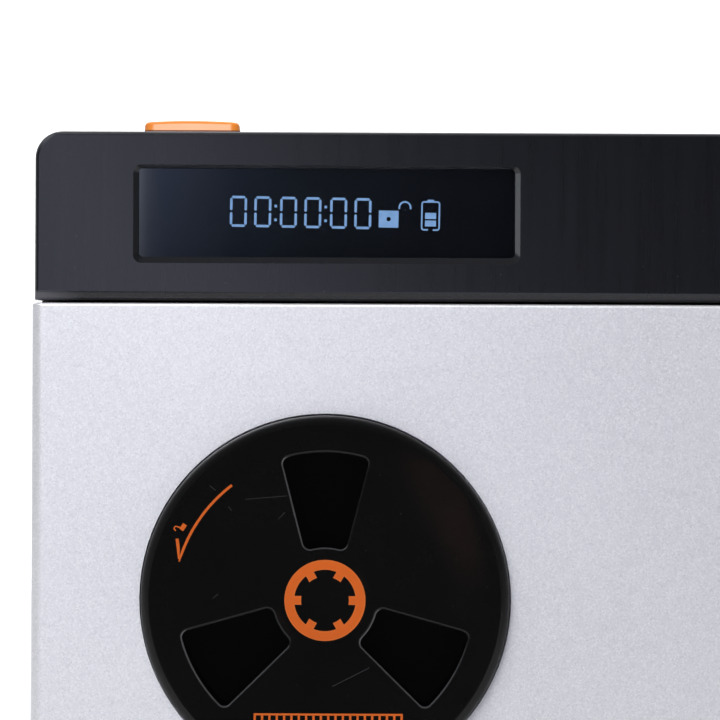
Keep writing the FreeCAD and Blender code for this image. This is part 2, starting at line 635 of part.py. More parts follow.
def button_cap():
    """Orange button: crowned cap that narrows above the head, retaining flange and stem."""
    foot = button_outline(0, 0, FLANGE_FOOT)
    waist = button_outline(0, 0, Z_TOP)
    crest = button_outline(BUTTON_SIDE_LEAN, BUTTON_LEAN, BUTTON_TOP)
    half_w, half_l = BUTTON_WIDTH / 2, BUTTON_LENGTH / 2
    crown_r = (half_w ** 2 + BUTTON_CROWN ** 2) / (2 * BUTTON_CROWN)
    crown = rod_y(BUTTON_X, BUTTON_TOP - crown_r, crown_r, BUTTON_Y - half_l - 1, BUTTON_Y + half_l + 1)
    upper = Part.makeLoft([waist, crest], True, True).common(crown)
    cap = fuse([Part.makeLoft([foot, waist], True, True), upper])
    rim = edges_in(cap, z=(BUTTON_TOP - BUTTON_CROWN - 0.1, BUTTON_TOP + 0.1))
    cap = cap.makeFillet(BUTTON_EDGE_R, rim)
    flange = plate_z(BUTTON_X - half_w - 1.1, BUTTON_X + half_w + 1.1, BUTTON_Y - half_l - 1.1,
                     BUTTON_Y + half_l + 1.1, FLANGE_FOOT, FLANGE_TOP, BUTTON_CORNER_R)
    stem = rod_z(BUTTON_X, SWITCH_Y, BUTTON_STEM_R, PLUNGER_TIP_Z, FLANGE_FOOT)
    return fuse([cap, flange, stem])


def button_outline(side_lean, front_lean, z):
    """Level outline of the button's cap, drawn in by its lean."""
    half_w, half_l = BUTTON_WIDTH / 2 - side_lean, BUTTON_LENGTH / 2 - front_lean
    wire = corner_wire(BUTTON_X - half_w, BUTTON_X + half_w, -half_l, half_l, [BUTTON_CORNER_R] * 4)
    wire.rotate(V(0, 0, 0), V(1, 0, 0), -90)
    wire.translate(V(0, BUTTON_Y, z))
    return wire


def button_switch():
    """Push switch on the back of the board, its plunger facing up."""
    half = SWITCH_SIDE / 2
    body = box(BUTTON_X - half, BUTTON_X + half, Y_BOARD_BACK, Y_BOARD_BACK + SWITCH_THICK,
               SWITCH_TOP - SWITCH_SIDE, SWITCH_TOP)
    bore = rod_z(BUTTON_X, SWITCH_Y, SWITCH_PLUNGER_R + TOUCH, SWITCH_TOP - half, SWITCH_TOP + 1)
    return cut(body, [bore])


def switch_plunger():
    foot = SWITCH_TOP - SWITCH_SIDE / 2 + BUTTON_TRAVEL + TOUCH
    return rod_z(BUTTON_X, SWITCH_Y, SWITCH_PLUNGER_R, foot, PLUNGER_TIP_Z)


# ---------------------------------------------------------------- lock in the head

def bolt_slot(z0, z1):
    half = BOLT_WIDTH / 2 + FIT
    return box(KNOB_X - half, KNOB_X + half, Y_BOLT - FIT, Y_BOLT_BACK + FIT, z0, z1)


def strike_plate():
    """Steel plate on the bezel's floor that the bolt passes."""
    plate = box(KNOB_X - STRIKE_WIDTH / 2, KNOB_X + STRIKE_WIDTH / 2, Y_FRONT + WALL + FIT, Y_SEAM - FIT,
                Z_HEAD + WALL, Z_HEAD + WALL + STRIKE_THICK)
    return cut(plate, [bolt_slot(Z_HEAD, Z_SHELF + STRIKE_THICK + 1)])


def solenoid_screw_places():
    x = SOLENOID_WIDTH / 2 + SOLENOID_LUG / 2
    return [(KNOB_X + side * x, SOLENOID_Y + SOLENOID_LENGTH / 2) for side in (-1, 1)]


def solenoid_frame():
    """Folded steel yoke with a lug each side."""
    half = SOLENOID_WIDTH / 2
    block = box(KNOB_X - half, KNOB_X + half, SOLENOID_Y, SOLENOID_BACK, SOLENOID_FOOT, SOLENOID_TOP)
    hollow = box(KNOB_X - half - 1, KNOB_X + half + 1, SOLENOID_Y + SOLENOID_SHEET,
                 SOLENOID_BACK - SOLENOID_SHEET, SOLENOID_FOOT + SOLENOID_SHEET, SOLENOID_TOP + 1)
    lugs = [box(x - SOLENOID_LUG / 2 - 0.01, x + SOLENOID_LUG / 2 + 0.01, y - 2.5, y + 2.5, SOLENOID_FOOT,
                SOLENOID_FOOT + SOLENOID_SHEET) for x, y in solenoid_screw_places()]
    body = fuse([cut(block, [hollow])] + lugs)
    holes = [rod_z(x, y, SCREW_R, SOLENOID_FOOT - 1, SOLENOID_FOOT + 2) for x, y in solenoid_screw_places()]
    holes.append(rod_y(KNOB_X, LOCK_Z, PLUNGER_R + 2 * TOUCH, SOLENOID_Y - 1, SOLENOID_BACK + 1))
    return cut(body, holes)


def solenoid_coil():
    """Bobbin with its winding, between the yoke's ends."""
    y0, y1 = SOLENOID_Y + SOLENOID_SHEET + TOUCH, SOLENOID_BACK - SOLENOID_SHEET - TOUCH
    flange = 0.8
    cheek_r = min(LOCK_Z - SOLENOID_FOOT - SOLENOID_SHEET - TOUCH, SOLENOID_WIDTH / 2)
    core = rod_y(KNOB_X, LOCK_Z, COIL_R - 0.4, y0, y1)
    cheeks = [rod_y(KNOB_X, LOCK_Z, cheek_r, a, a + flange) for a in (y0, y1 - flange)]
    return cut(fuse([core] + cheeks), [rod_y(KNOB_X, LOCK_Z, PLUNGER_R + 2 * TOUCH, y0 - 1, y1 + 1)])


def solenoid_screws():
    return compound(screw_z(x, y, SOLENOID_FOOT + SOLENOID_SHEET, SOLENOID_SHEET + 1.4)
                    for x, y in solenoid_screw_places())


def lock_plunger():
    """Steel rod through the coil. Its tip enters the bolt's hole when the lock is set."""
    rod = rod_y(KNOB_X, LOCK_Z, PLUNGER_R, PLUNGER_TIP, PLUNGER_TAIL)
    rod = rod.makeChamfer(0.4, edges_in(rod, y=(PLUNGER_TIP, PLUNGER_TIP)))
    groove = rod_y(KNOB_X, LOCK_Z, PLUNGER_R + 1, CLIP_Y, CLIP_Y + CLIP_THICK)
    groove = cut(groove, [rod_y(KNOB_X, LOCK_Z, PLUNGER_R - 0.4, CLIP_Y - 1, CLIP_Y + 2)])
    return cut(rod, [groove])


def plunger_clip():
    """Snap ring in the plunger's groove, open at the bottom."""
    ring = rod_y(KNOB_X, LOCK_Z, CLIP_R, CLIP_Y + 0.02, CLIP_Y + CLIP_THICK - 0.02)
    neck = PLUNGER_R - 0.4 + 0.02
    return cut(ring, [rod_y(KNOB_X, LOCK_Z, neck, CLIP_Y - 1, CLIP_Y + 2),
                      box(KNOB_X - neck, KNOB_X + neck, CLIP_Y - 1, CLIP_Y + 2, LOCK_Z - CLIP_R - 1, LOCK_Z)])


def plunger_spring():
    """Return spring between the yoke and the clip."""
    y0, y1 = SOLENOID_BACK + SPRING_WIRE_R + 0.02, CLIP_Y - SPRING_WIRE_R - 0.02
    radius = PLUNGER_R + SPRING_WIRE_R + 2 * TOUCH
    helix = Part.makeHelix((y1 - y0) / SPRING_TURNS, y1 - y0, radius)
    start = V(radius, 0, 0)
    section = Part.Wire(Part.makeCircle(SPRING_WIRE_R, start, V(0, 1, 0)))
    wire = Part.Wire(helix).makePipeShell([section], True, True)
    wire.rotate(V(0, 0, 0), V(1, 0, 0), -90)
    wire.translate(V(KNOB_X, y0, LOCK_Z))
    return wire


# ---------------------------------------------------------------- power

def battery_cell():
    cell = rod_x(CELL_Y, CELL_Z, CELL_R, CELL_X, CELL_X + CELL_LENGTH)
    cap = rod_x(CELL_Y, CELL_Z, CELL_R / 3, CELL_X + CELL_LENGTH, CELL_X + CELL_LENGTH + 1.0)
    return fuse([cell.makeFillet(0.8, cell.Edges[:1] + cell.Edges[2:]), cap])


def battery_cradle():
    """Open-topped cradle that stands on the head's floor."""
    end_gap = CONTACT_THICK + 1.2
    x0, x1 = CELL_X - end_gap, CELL_X + CELL_LENGTH + end_gap
    y0, y1 = CELL_Y - CELL_R - CRADLE_WALL, CELL_Y + CELL_R + CRADLE_WALL
    block = box(x0 - CRADLE_WALL, x1 + CRADLE_WALL, y0, y1, Z_SHELF, CELL_Z + CELL_R * 0.45)
    trough = fuse([rod_x(CELL_Y, CELL_Z, CELL_R + TOUCH, x0, x1),
                   box(x0, x1, CELL_Y - CELL_R - TOUCH, CELL_Y + CELL_R + TOUCH, CELL_Z, CELL_Z + CELL_R)])
    notch = box(x0 + CRADLE_END, x1 - CRADLE_END, y0 - 1, y1 + 1, CELL_Z - CELL_R * 0.4, CELL_Z + CELL_R)
    return cut(block, [trough, notch])


def battery_contacts():
    """Sprung plate at each end of the cell."""
    end_gap = CONTACT_THICK + 1.2
    half = CELL_R * 0.6
    low, high = CELL_Z - CELL_R * 0.55, CELL_Z + CELL_R * 0.45
    near = box(CELL_X - end_gap, CELL_X - end_gap + CONTACT_THICK, CELL_Y - half, CELL_Y + half, low, high)
    dimple = rod_x(CELL_Y, CELL_Z, 2.4, CELL_X - end_gap + CONTACT_THICK, CELL_X - 0.02)
    far_x = CELL_X + CELL_LENGTH + end_gap
    far = box(far_x - CONTACT_THICK, far_x, CELL_Y - half, CELL_Y + half, low, high)
    nub = rod_x(CELL_Y, CELL_Z, 1.6, CELL_X + CELL_LENGTH + 1.02, far_x - CONTACT_THICK)
    return compound([fuse([near, dimple]), fuse([far, nub])])


def port_screw_places():
    y = Y_BACK - HOUSING_WALL - PORT_BOARD_LENGTH + PORT_POST_R + 0.4
    x = PORT_BOARD_WIDTH / 2 - PORT_POST_R
    return [(PORT_X - x, y), (PORT_X + x, y)]


def port_board():
    y1 = Y_BACK - HOUSING_WALL - FIT
    top = PORT_Z - PORT_HEIGHT / 2
    foot = top - PORT_BOARD_THICK
    half = PORT_BOARD_WIDTH / 2
    board = box(PORT_X - half, PORT_X + half, y1 - PORT_BOARD_LENGTH, y1, foot, top)
    return cut(board, [rod_z(x, y, SCREW_R, foot - 1, top + 1) for x, y in port_screw_places()])


def port_screws():
    return compound(screw_z(x, y, PORT_Z - PORT_HEIGHT / 2, PORT_BOARD_THICK + SCREW_GRIP)
                    for x, y in port_screw_places())


def charging_port():
    """Oval metal shell with a contact tongue, flush with a shallow well in the rear wall."""
    y1 = Y_BACK - HOUSING_WALL / 2
    y0 = y1 - PORT_LENGTH
    half_w, half_h = PORT_WIDTH / 2, PORT_HEIGHT / 2
    shell = plate_y(PORT_X - half_w, PORT_X + half_w, PORT_Z - half_h, PORT_Z + half_h, y0, y1, half_h * 0.98)
    hollow = plate_y(PORT_X - half_w + PORT_WALL, PORT_X + half_w - PORT_WALL, PORT_Z - half_h + PORT_WALL,
                     PORT_Z + half_h - PORT_WALL, y0 + 1.0, y1 + 1, (half_h - PORT_WALL) * 0.98)
    reach, half_t = half_w * 0.7, PORT_TONGUE / 2
    tongue = box(PORT_X - reach, PORT_X + reach, y0 + 0.5, y1 - 1.0, PORT_Z - half_t, PORT_Z + half_t)
    return fuse([cut(shell, [hollow]), tongue])


# ---------------------------------------------------------------- door

def liner_screw_places():
    return [(x, z) for x in LINER_SCREW_X for z in LINER_SCREW_Z]


def door_shell():
    """Silver tray: front skin, rim on all sides, knob well, screw bosses and hinge knuckles."""
    body = plate_y(-X_DOOR, X_DOOR, Z_BASE, Z_DOOR_TOP, Y_FRONT, Y_RIM, radii=[CORNER_R, CORNER_R, 0, 0])
    bottom = edges_in(body, y=(Y_FRONT, Y_FRONT), z=(Z_BASE, Z_BASE))
    body = body.makeFillet(DOOR_EDGE_R, bottom)
    top = edges_in(body, y=(Y_FRONT, Y_FRONT), z=(Z_DOOR_TOP, Z_DOOR_TOP))
    body = body.makeFillet(DOOR_TOP_EDGE_R, top)

    inner_r = CORNER_R - WALL
    half = X_DOOR - WALL
    cavity = plate_y(-half, half, Z_BASE + WALL, Z_DOOR_TOP - WALL, Y_FRONT + WALL, Y_RIM + 1,
                     radii=[inner_r, inner_r, DOOR_TOP_EDGE_R, DOOR_TOP_EDGE_R])
    body = cut(body, [cavity])
    bosses = [rod_y(x, z, BOSS_R, Y_FRONT + WALL, Y_LINER) for x, z in liner_screw_places()]
    well = rod_y(KNOB_X, KNOB_Z, WELL_R + WELL_WALL, Y_FRONT + WALL, Y_WELL + WELL_FLOOR)
    body = fuse([body, well] + bosses)
    body = leaf(body, "door", PIN_R + PIN_RUNNING_FIT, Y_RIM - HINGE_ROOT_R, Y_RIM, X_DOOR)

    tools = [rod_y(KNOB_X, KNOB_Z, WELL_R, Y_FRONT - 1, Y_WELL),
             rod_y(KNOB_X, KNOB_Z, SPINDLE_R + PIN_RUNNING_FIT, Y_FRONT, Y_CAM),
             bolt_slot(Z_DOOR_TOP - WALL - 1, Z_DOOR_TOP + 1)]
    tools += [rod_y(x, z, PILOT_R, Y_FRONT + 2 * WALL, Y_LINER + 1) for x, z in liner_screw_places()]
    return cut(body, tools)


def door_liner():
    """Flat panel that closes the back of the door."""
    gap = WALL + LINER_FIT
    inner_r = CORNER_R - WALL
    panel = plate_y(-X_DOOR + gap, X_DOOR - gap, Z_BASE + gap, Z_DOOR_TOP - gap, Y_LINER, Y_RIM,
                    radii=[inner_r, inner_r, DOOR_TOP_EDGE_R, DOOR_TOP_EDGE_R])
    tools = [rod_z(HINGE_X, HINGE_Y, HINGE_ROOT_R + LINER_FIT, Z_BASE, Z_DOOR_TOP),
             box(HINGE_X, X_DOOR, Y_LINER - 1, Y_SEAM, Z_BASE, Z_DOOR_TOP)]
    for x, z in liner_screw_places():
        tools.append(countersink(x, z, SCREW_R, SCREW_HEAD_R + TOUCH, SCREW_HEAD))
        tools.append(rod_y(x, z, SCREW_R, Y_LINER - 1, Y_RIM + 1))
    for x, z in guide_screw_places():
        tools.append(rod_y(x, z, PILOT_R, Y_LINER - 1, Y_LINER + LINER * 0.75))
    return cut(panel, tools)


def countersink(x, z, low_r, high_r, deep):
    """Cone that widens from a screw head's depth in the liner towards its rear face."""
    return Part.makeCone(low_r, high_r, deep, V(x, Y_RIM - SCREW_HEAD, z), V(0, 1, 0))


def liner_screws():
    """Countersunk screws, flush with the liner."""
    screws = []
    long, short = SCREW_HEAD_R * 0.6, SCREW_HEAD_R * 0.12
    for x, z in liner_screw_places():
        head = countersink(x, z, SCREW_R - TOUCH, SCREW_HEAD_R, SCREW_HEAD - TOUCH)
        shank = rod_y(x, z, PILOT_R - SCREW_FIT, Y_LINER - LINER_SCREW_GRIP, Y_RIM - SCREW_HEAD)
        slots = [box(x - w, x + w, Y_RIM - SCREW_HEAD / 2, Y_RIM + 1, z - h, z + h)
                 for w, h in ((long, short), (short, long))]
        screws.append(cut(fuse([head, shank]), slots))
    return compound(screws)


def guide_screw_places():
    x = BOLT_WIDTH / 2 + FIT + GUIDE_SIDE / 2
    return [(KNOB_X + side * x, GUIDE_FOOT + GUIDE_LENGTH / 2) for side in (-1, 1)]


def bolt_guide():
    """Bridge over the bolt, screwed to the liner."""
    half = BOLT_WIDTH / 2 + FIT + GUIDE_SIDE
    front = Y_BOLT - FIT - GUIDE_BRIDGE
    block = plate_y(KNOB_X - half, KNOB_X + half, GUIDE_FOOT, GUIDE_FOOT + GUIDE_LENGTH, front, Y_LINER, 1.5)
    channel = box(KNOB_X - BOLT_WIDTH / 2 - FIT, KNOB_X + BOLT_WIDTH / 2 + FIT, Y_BOLT - FIT, Y_LINER + 1,
                  GUIDE_FOOT - 1, GUIDE_FOOT + GUIDE_LENGTH + 1)
    holes = [rod_y(x, z, SCREW_R, front - 1, Y_LINER + 1) for x, z in guide_screw_places()]
    holes += [rod_y(x, z, SCREW_HEAD_R + 0.1, front - 1, front + SCREW_HEAD) for x, z in guide_screw_places()]
    return cut(block, [channel] + holes)


def guide_screws():
    seat = Y_BOLT - FIT - GUIDE_BRIDGE + SCREW_HEAD
    length = Y_LINER - seat + LINER * 0.6
    return compound(screw_y(x, z, seat, length, PILOT_R, SCREW_HEAD_R, SCREW_HEAD - 0.05, way=1)
                    for x, z in guide_screw_places())


# ---------------------------------------------------------------- knob

def pocket_wire(grow, y):
    """Outline of the top finger pocket: two sloping sides between two arcs about the knob's axis."""
    slope = math.radians(POCKET_HALF_ANGLE)
    offset = POCKET_SIDE_OFFSET + grow
    inner, outer = POCKET_INNER_R - grow, POCKET_OUTER_R + grow

    def corner(radius):
        turn = slope + math.asin(offset / radius)
        return radius * math.sin(turn), radius * math.cos(turn)
    (ix, iz), (ox, oz) = corner(inner), corner(outer)
    edges = [Part.LineSegment(V(ix, y, iz), V(ox, y, oz)),
             Part.Arc(V(ox, y, oz), V(0, y, outer), V(-ox, y, oz)),
             Part.LineSegment(V(-ox, y, oz), V(-ix, y, iz)),
             Part.Arc(V(-ix, y, iz), V(0, y, inner), V(ix, y, iz))]
    return Part.Wire([e.toShape() for e in edges])


def pocket_prism(grow, y0, y1, corner_r):
    prism = Part.Face(pocket_wire(grow, y0)).extrude(V(0, y1 - y0, 0))
    upright = [e for e in prism.Edges if e.BoundBox.YLength > abs(y1 - y0) / 2]
    return prism.makeFillet(corner_r, upright)


def around_knob(shape, index, count):
    copy = shape.copy()
    copy.rotate(V(0, 0, 0), V(0, 1, 0), 360.0 * index / count)
    copy.translate(V(KNOB_X, 0, KNOB_Z))
    return copy


def knob_disc():
    """Glossy black knob: dished face, rolled rim, three finger pockets, hub and square drive."""
    face, back = Y_FRONT - KNOB_PROUD, Y_WELL - FIT
    hub_face = face + KNOB_DISH
    roll = KNOB_EDGE_R * (1 - math.sqrt(0.5))
    body = turned([(0, hub_face), (HUB_FLAT_R, hub_face), (KNOB_R - KNOB_EDGE_R, face),
                   ((KNOB_R - roll, face + roll), (KNOB_R, face + KNOB_EDGE_R)),
                   (KNOB_R, back - FIT), (KNOB_R - KNOB_SKIRT, back - FIT),
                   (KNOB_R - KNOB_SKIRT, face + KNOB_PLATE), (HUB_R, hub_face + KNOB_PLATE),
                   (HUB_R, back + FIT / 2), (SPINDLE_R, back + FIT / 2), (SPINDLE_R, Y_CAM - FIT / 2),
                   (0, Y_CAM - FIT / 2)], KNOB_X, KNOB_Z)
    floor = face + POCKET_DEPTH
    cup = pocket_prism(POCKET_CUP_WALL, face + KNOB_PLATE / 2, floor + POCKET_CUP_WALL,
                       POCKET_CORNER_R + POCKET_CUP_WALL)
    body = fuse([body] + [around_knob(cup, i, POCKETS) for i in range(POCKETS)])
    drive = box(KNOB_X - DRIVE_SIDE / 2, KNOB_X + DRIVE_SIDE / 2, Y_WELL, Y_CAM + CAM_THICK,
                KNOB_Z - DRIVE_SIDE / 2, KNOB_Z + DRIVE_SIDE / 2)
    body = fuse([body, drive])
    pocket = pocket_prism(0.0, face - 1, floor, POCKET_CORNER_R)
    body = cut(body, [around_knob(pocket, i, POCKETS) for i in range(POCKETS)])
    body = body.makeFillet(POCKET_LIP_R, pocket_lips(body, face))
    return cut(body, [ring_shape(hub_face - 1, hub_face + RING_DEPTH + 0.02, 0.02),
                      rod_y(KNOB_X, KNOB_Z, SCREW_R, hub_face + 2.5, Y_CAM + CAM_THICK + 1)])


def pocket_lips(body, face):
    """Edges where the finger pockets meet the knob's face."""
    lips = []
    for edge in edges_in(body, y=(face, face + KNOB_DISH)):
        reach = [math.hypot(v.X - KNOB_X, v.Z - KNOB_Z) for v in edge.Vertexes]
        if min(reach) > HUB_FLAT_R + 0.1 and max(reach) < KNOB_R - KNOB_EDGE_R - 0.1:
            lips.append(edge)
    return lips


def ring_shape(y0, y1, grow):
    """Ring with teeth that point inwards."""
    ring = cut(rod_y(KNOB_X, KNOB_Z, RING_OUTER_R + grow, y0, y1),
               [rod_y(KNOB_X, KNOB_Z, RING_INNER_R - grow, y0 - 1, y1 + 1)])
    half = RING_TOOTH_WIDTH / 2 + grow
    reach = cut(rod_y(KNOB_X, KNOB_Z, (RING_INNER_R + RING_OUTER_R) / 2, y0, y1),
                [rod_y(KNOB_X, KNOB_Z, RING_TOOTH_R - grow, y0 - 1, y1 + 1)])
    bar = box(0, RING_OUTER_R, y0, y1, -half, half)
    teeth = [around_knob(bar, i, RING_TEETH).common(reach) for i in range(RING_TEETH)]
    return fuse([ring] + teeth)


def hub_ring():
    """Orange toothed ring, flush with the hub."""
    hub_face = Y_FRONT - KNOB_PROUD + KNOB_DISH
    return ring_shape(hub_face, hub_face + RING_DEPTH, 0.0)


def spiral(turn, side):
    """Point beside the cam slot's centre line, turn degrees from its start, side mm outwards."""
    rate = BOLT_STROKE / math.radians(CAM_TURN)
    radius = CAM_START_R + rate * math.radians(turn)
    angle = math.radians(90 + turn)
    out, along = V(math.cos(angle), 0, math.sin(angle)), V(-math.sin(angle), 0, math.cos(angle))
    heading = (out * rate + along * radius).normalize()
    normal = V(heading.z, 0, -heading.x)
    return out * radius + normal * side, heading


def cam_slot(y0, y1):
    """Spiral slot: the follower moves out in step with the turn."""
    half = FOLLOWER_R + SLOT_FIT
    steps = 12
    turns = [CAM_TURN * i / steps for i in range(steps + 1)]
    outer, inner = Part.BSplineCurve(), Part.BSplineCurve()
    outer.interpolate([spiral(t, half)[0] for t in turns])
    inner.interpolate([spiral(t, -half)[0] for t in reversed(turns)])
    (start, heading), (end, leaving) = spiral(0, 0), spiral(CAM_TURN, 0)
    far = Part.Arc(spiral(CAM_TURN, half)[0], end + leaving * half, spiral(CAM_TURN, -half)[0])
    near = Part.Arc(spiral(0, -half)[0], start - heading * half, spiral(0, half)[0])
    wire = Part.Wire([e.toShape() for e in (outer, far, inner, near)])
    slot = Part.Face(wire).extrude(V(0, y1 - y0, 0))
    slot.translate(V(KNOB_X, y0, KNOB_Z))
    return slot


def cam_plate():
    """Steel disc on the knob's square drive, with the spiral slot that lifts the bolt."""
    half = DRIVE_SIDE / 2 + TOUCH
    disc = rod_y(KNOB_X, KNOB_Z, CAM_R, Y_CAM, Y_CAM + CAM_THICK)
    return cut(disc, [box(KNOB_X - half, KNOB_X + half, Y_CAM - 1, Y_BOLT, KNOB_Z - half, KNOB_Z + half),
                      cam_slot(Y_CAM - 1, Y_CAM + CAM_THICK + 1)])


def cam_washer():
    """Flat washer under the cam's screw."""
    y0, y1 = Y_CAM + CAM_THICK, Y_CAM + CAM_THICK + WASHER_THICK
    disc = rod_y(KNOB_X, KNOB_Z, DRIVE_SIDE * 0.72, y0, y1)
    return cut(disc, [rod_y(KNOB_X, KNOB_Z, SCREW_R, y0 - 1, y1 + 1)])


def cam_screw():
    seat = Y_CAM + CAM_THICK + WASHER_THICK
    return screw_y(KNOB_X, KNOB_Z, seat, CAM_SCREW_LENGTH, head_r=CAM_SCREW_HEAD_R)


# ---------------------------------------------------------------- bolt

def top_bolt():
    """Flat steel bolt. Its foot holds the follower, and its tip the hole that the plunger enters."""
    half = BOLT_WIDTH / 2
    bar = box(KNOB_X - half, KNOB_X + half, Y_BOLT, Y_BOLT_BACK, BOLT_FOOT, BOLT_TOP)
    bar = bar.makeChamfer(BOLT_TIP_CHAMFER, edges_in(bar, y=(Y_BOLT, Y_BOLT), z=(BOLT_TOP, BOLT_TOP)))
    upright = edges_in(bar, z=(BOLT_FOOT, BOLT_FOOT))
    bar = bar.makeFillet(1.5, [e for e in upright if e.BoundBox.YLength > BOLT_THICK / 2])
    lock_hole = rod_y(KNOB_X, BOLT_TOP - BOLT_HOLE_FROM_TIP, BOLT_HOLE_R, Y_BOLT - 1, Y_BOLT_BACK + 1)
    stud_hole = rod_y(KNOB_X, KNOB_Z + CAM_START_R, STUD_R + SCREW_FIT, Y_BOLT - 1, Y_BOLT_BACK + 1)
    return cut(bar, [lock_hole, stud_hole])


def bolt_follower():
    """Shouldered stud that rides in the cam's slot."""
    z = KNOB_Z + CAM_START_R
    head = rod_y(KNOB_X, z, FOLLOWER_R, Y_CAM + TOUCH, Y_BOLT)
    return fuse([head, rod_y(KNOB_X, z, STUD_R, Y_BOLT, Y_BOLT_BACK)])


# ---------------------------------------------------------------- export

NODES = {
    "rear_housing": rear_housing,
    "head_bezel": head_bezel,
    "rubber_feet": rubber_feet,
    "case_screws": case_screws,
    "hinge_pin": hinge_pin,
    "display_lens": display_lens,
    "display_frame": display_frame,
    "display_glass": display_glass,
    "display_backlight": display_backlight,
    "control_board": control_board,
    "board_screws": board_screws,
    "button_switch": button_switch,
    "strike_plate": strike_plate,
    "solenoid_frame": solenoid_frame,
    "solenoid_coil": solenoid_coil,
    "solenoid_screws": solenoid_screws,
    "plunger_spring": plunger_spring,
    "battery_cradle": battery_cradle,
    "battery_cell": battery_cell,
    "battery_contacts": battery_contacts,
    "port_board": port_board,
    "port_screws": port_screws,
    "charging_port": charging_port,
    "door_shell": door_shell,
    "door_liner": door_liner,
    "liner_screws": liner_screws,
    "bolt_guide": bolt_guide,
    "guide_screws": guide_screws,
    "knob_disc": knob_disc,
    "hub_ring": hub_ring,
    "cam_plate": cam_plate,
    "cam_washer": cam_washer,
    "cam_screw": cam_screw,
    "top_bolt": top_bolt,
    "bolt_follower": bolt_follower,
    "lock_plunger": lock_plunger,
    "plunger_clip": plunger_clip,
    "button_cap": button_cap,
    "switch_plunger": switch_plunger,
}


def main():
    os.makedirs("parts", exist_ok=True)
    for name, make in NODES.items():
        shape = make()
        shape.exportStep(os.path.join("parts", name + ".step"))
        sizes = shape.BoundBox
        print(f"{name:18s} solids {len(shape.Solids)} valid {shape.isValid()} volume {shape.Volume:10.1f} "
              f"box {sizes.XLength:.1f} x {sizes.YLength:.1f} x {sizes.ZLength:.1f}")


main()
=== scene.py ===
"""Looks of the timed lock container: materials, the print on the knob, the lit display, stage and camera.

Metres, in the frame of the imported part: +X right, +Z up, the door faces -Y.
"""

import json
import math

import bpy
from mathutils import Matrix, Vector


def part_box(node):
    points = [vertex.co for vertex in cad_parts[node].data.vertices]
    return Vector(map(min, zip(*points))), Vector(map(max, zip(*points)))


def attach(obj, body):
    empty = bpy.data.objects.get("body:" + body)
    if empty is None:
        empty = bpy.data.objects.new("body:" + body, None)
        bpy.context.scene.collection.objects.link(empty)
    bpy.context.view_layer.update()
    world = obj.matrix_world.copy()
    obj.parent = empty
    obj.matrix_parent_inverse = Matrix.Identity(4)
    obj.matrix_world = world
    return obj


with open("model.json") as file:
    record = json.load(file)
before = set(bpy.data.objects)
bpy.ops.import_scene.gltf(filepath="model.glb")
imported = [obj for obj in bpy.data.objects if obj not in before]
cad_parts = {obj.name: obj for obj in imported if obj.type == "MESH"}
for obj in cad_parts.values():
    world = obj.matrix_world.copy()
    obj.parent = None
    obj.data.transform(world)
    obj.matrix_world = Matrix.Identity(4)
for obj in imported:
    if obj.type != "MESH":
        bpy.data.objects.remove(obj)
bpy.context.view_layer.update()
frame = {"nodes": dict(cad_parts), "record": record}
nodes = frame["nodes"]

MM = 0.001
SHARP_OVER = math.radians(35)   # edges that turn more than this stay sharp
WEAR_REACH = 0.5 * MM           # how far in from an edge a surface is rubbed
GRAIN_DEPTH = 0.05 * MM
FINE_GRAIN = 2200


def middle(node):
    """Middle of a CAD node's box."""
    low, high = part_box(node)
    return (low + high) / 2


# The knob's rolled edge, the depth of its dish and the flat round its hub are as in the CAD.
KNOB_X, _, KNOB_Z = middle("hub_ring")
KNOB_FACE_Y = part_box("knob_disc")[0].y
KNOB_EDGE_R, DISH, HUB_FLAT_R = 1.35 * MM, 0.5 * MM, 7.3 * MM
DISH_RIM_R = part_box("knob_disc")[1].x - KNOB_X - KNOB_EDGE_R
WINDOW_X, _, WINDOW_Z = middle("display_lens")
GLASS_LOW, GLASS_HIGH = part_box("display_glass")
HEAD_LOW, HEAD_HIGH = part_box("head_bezel")


# ---------------------------------------------------------------- node helpers

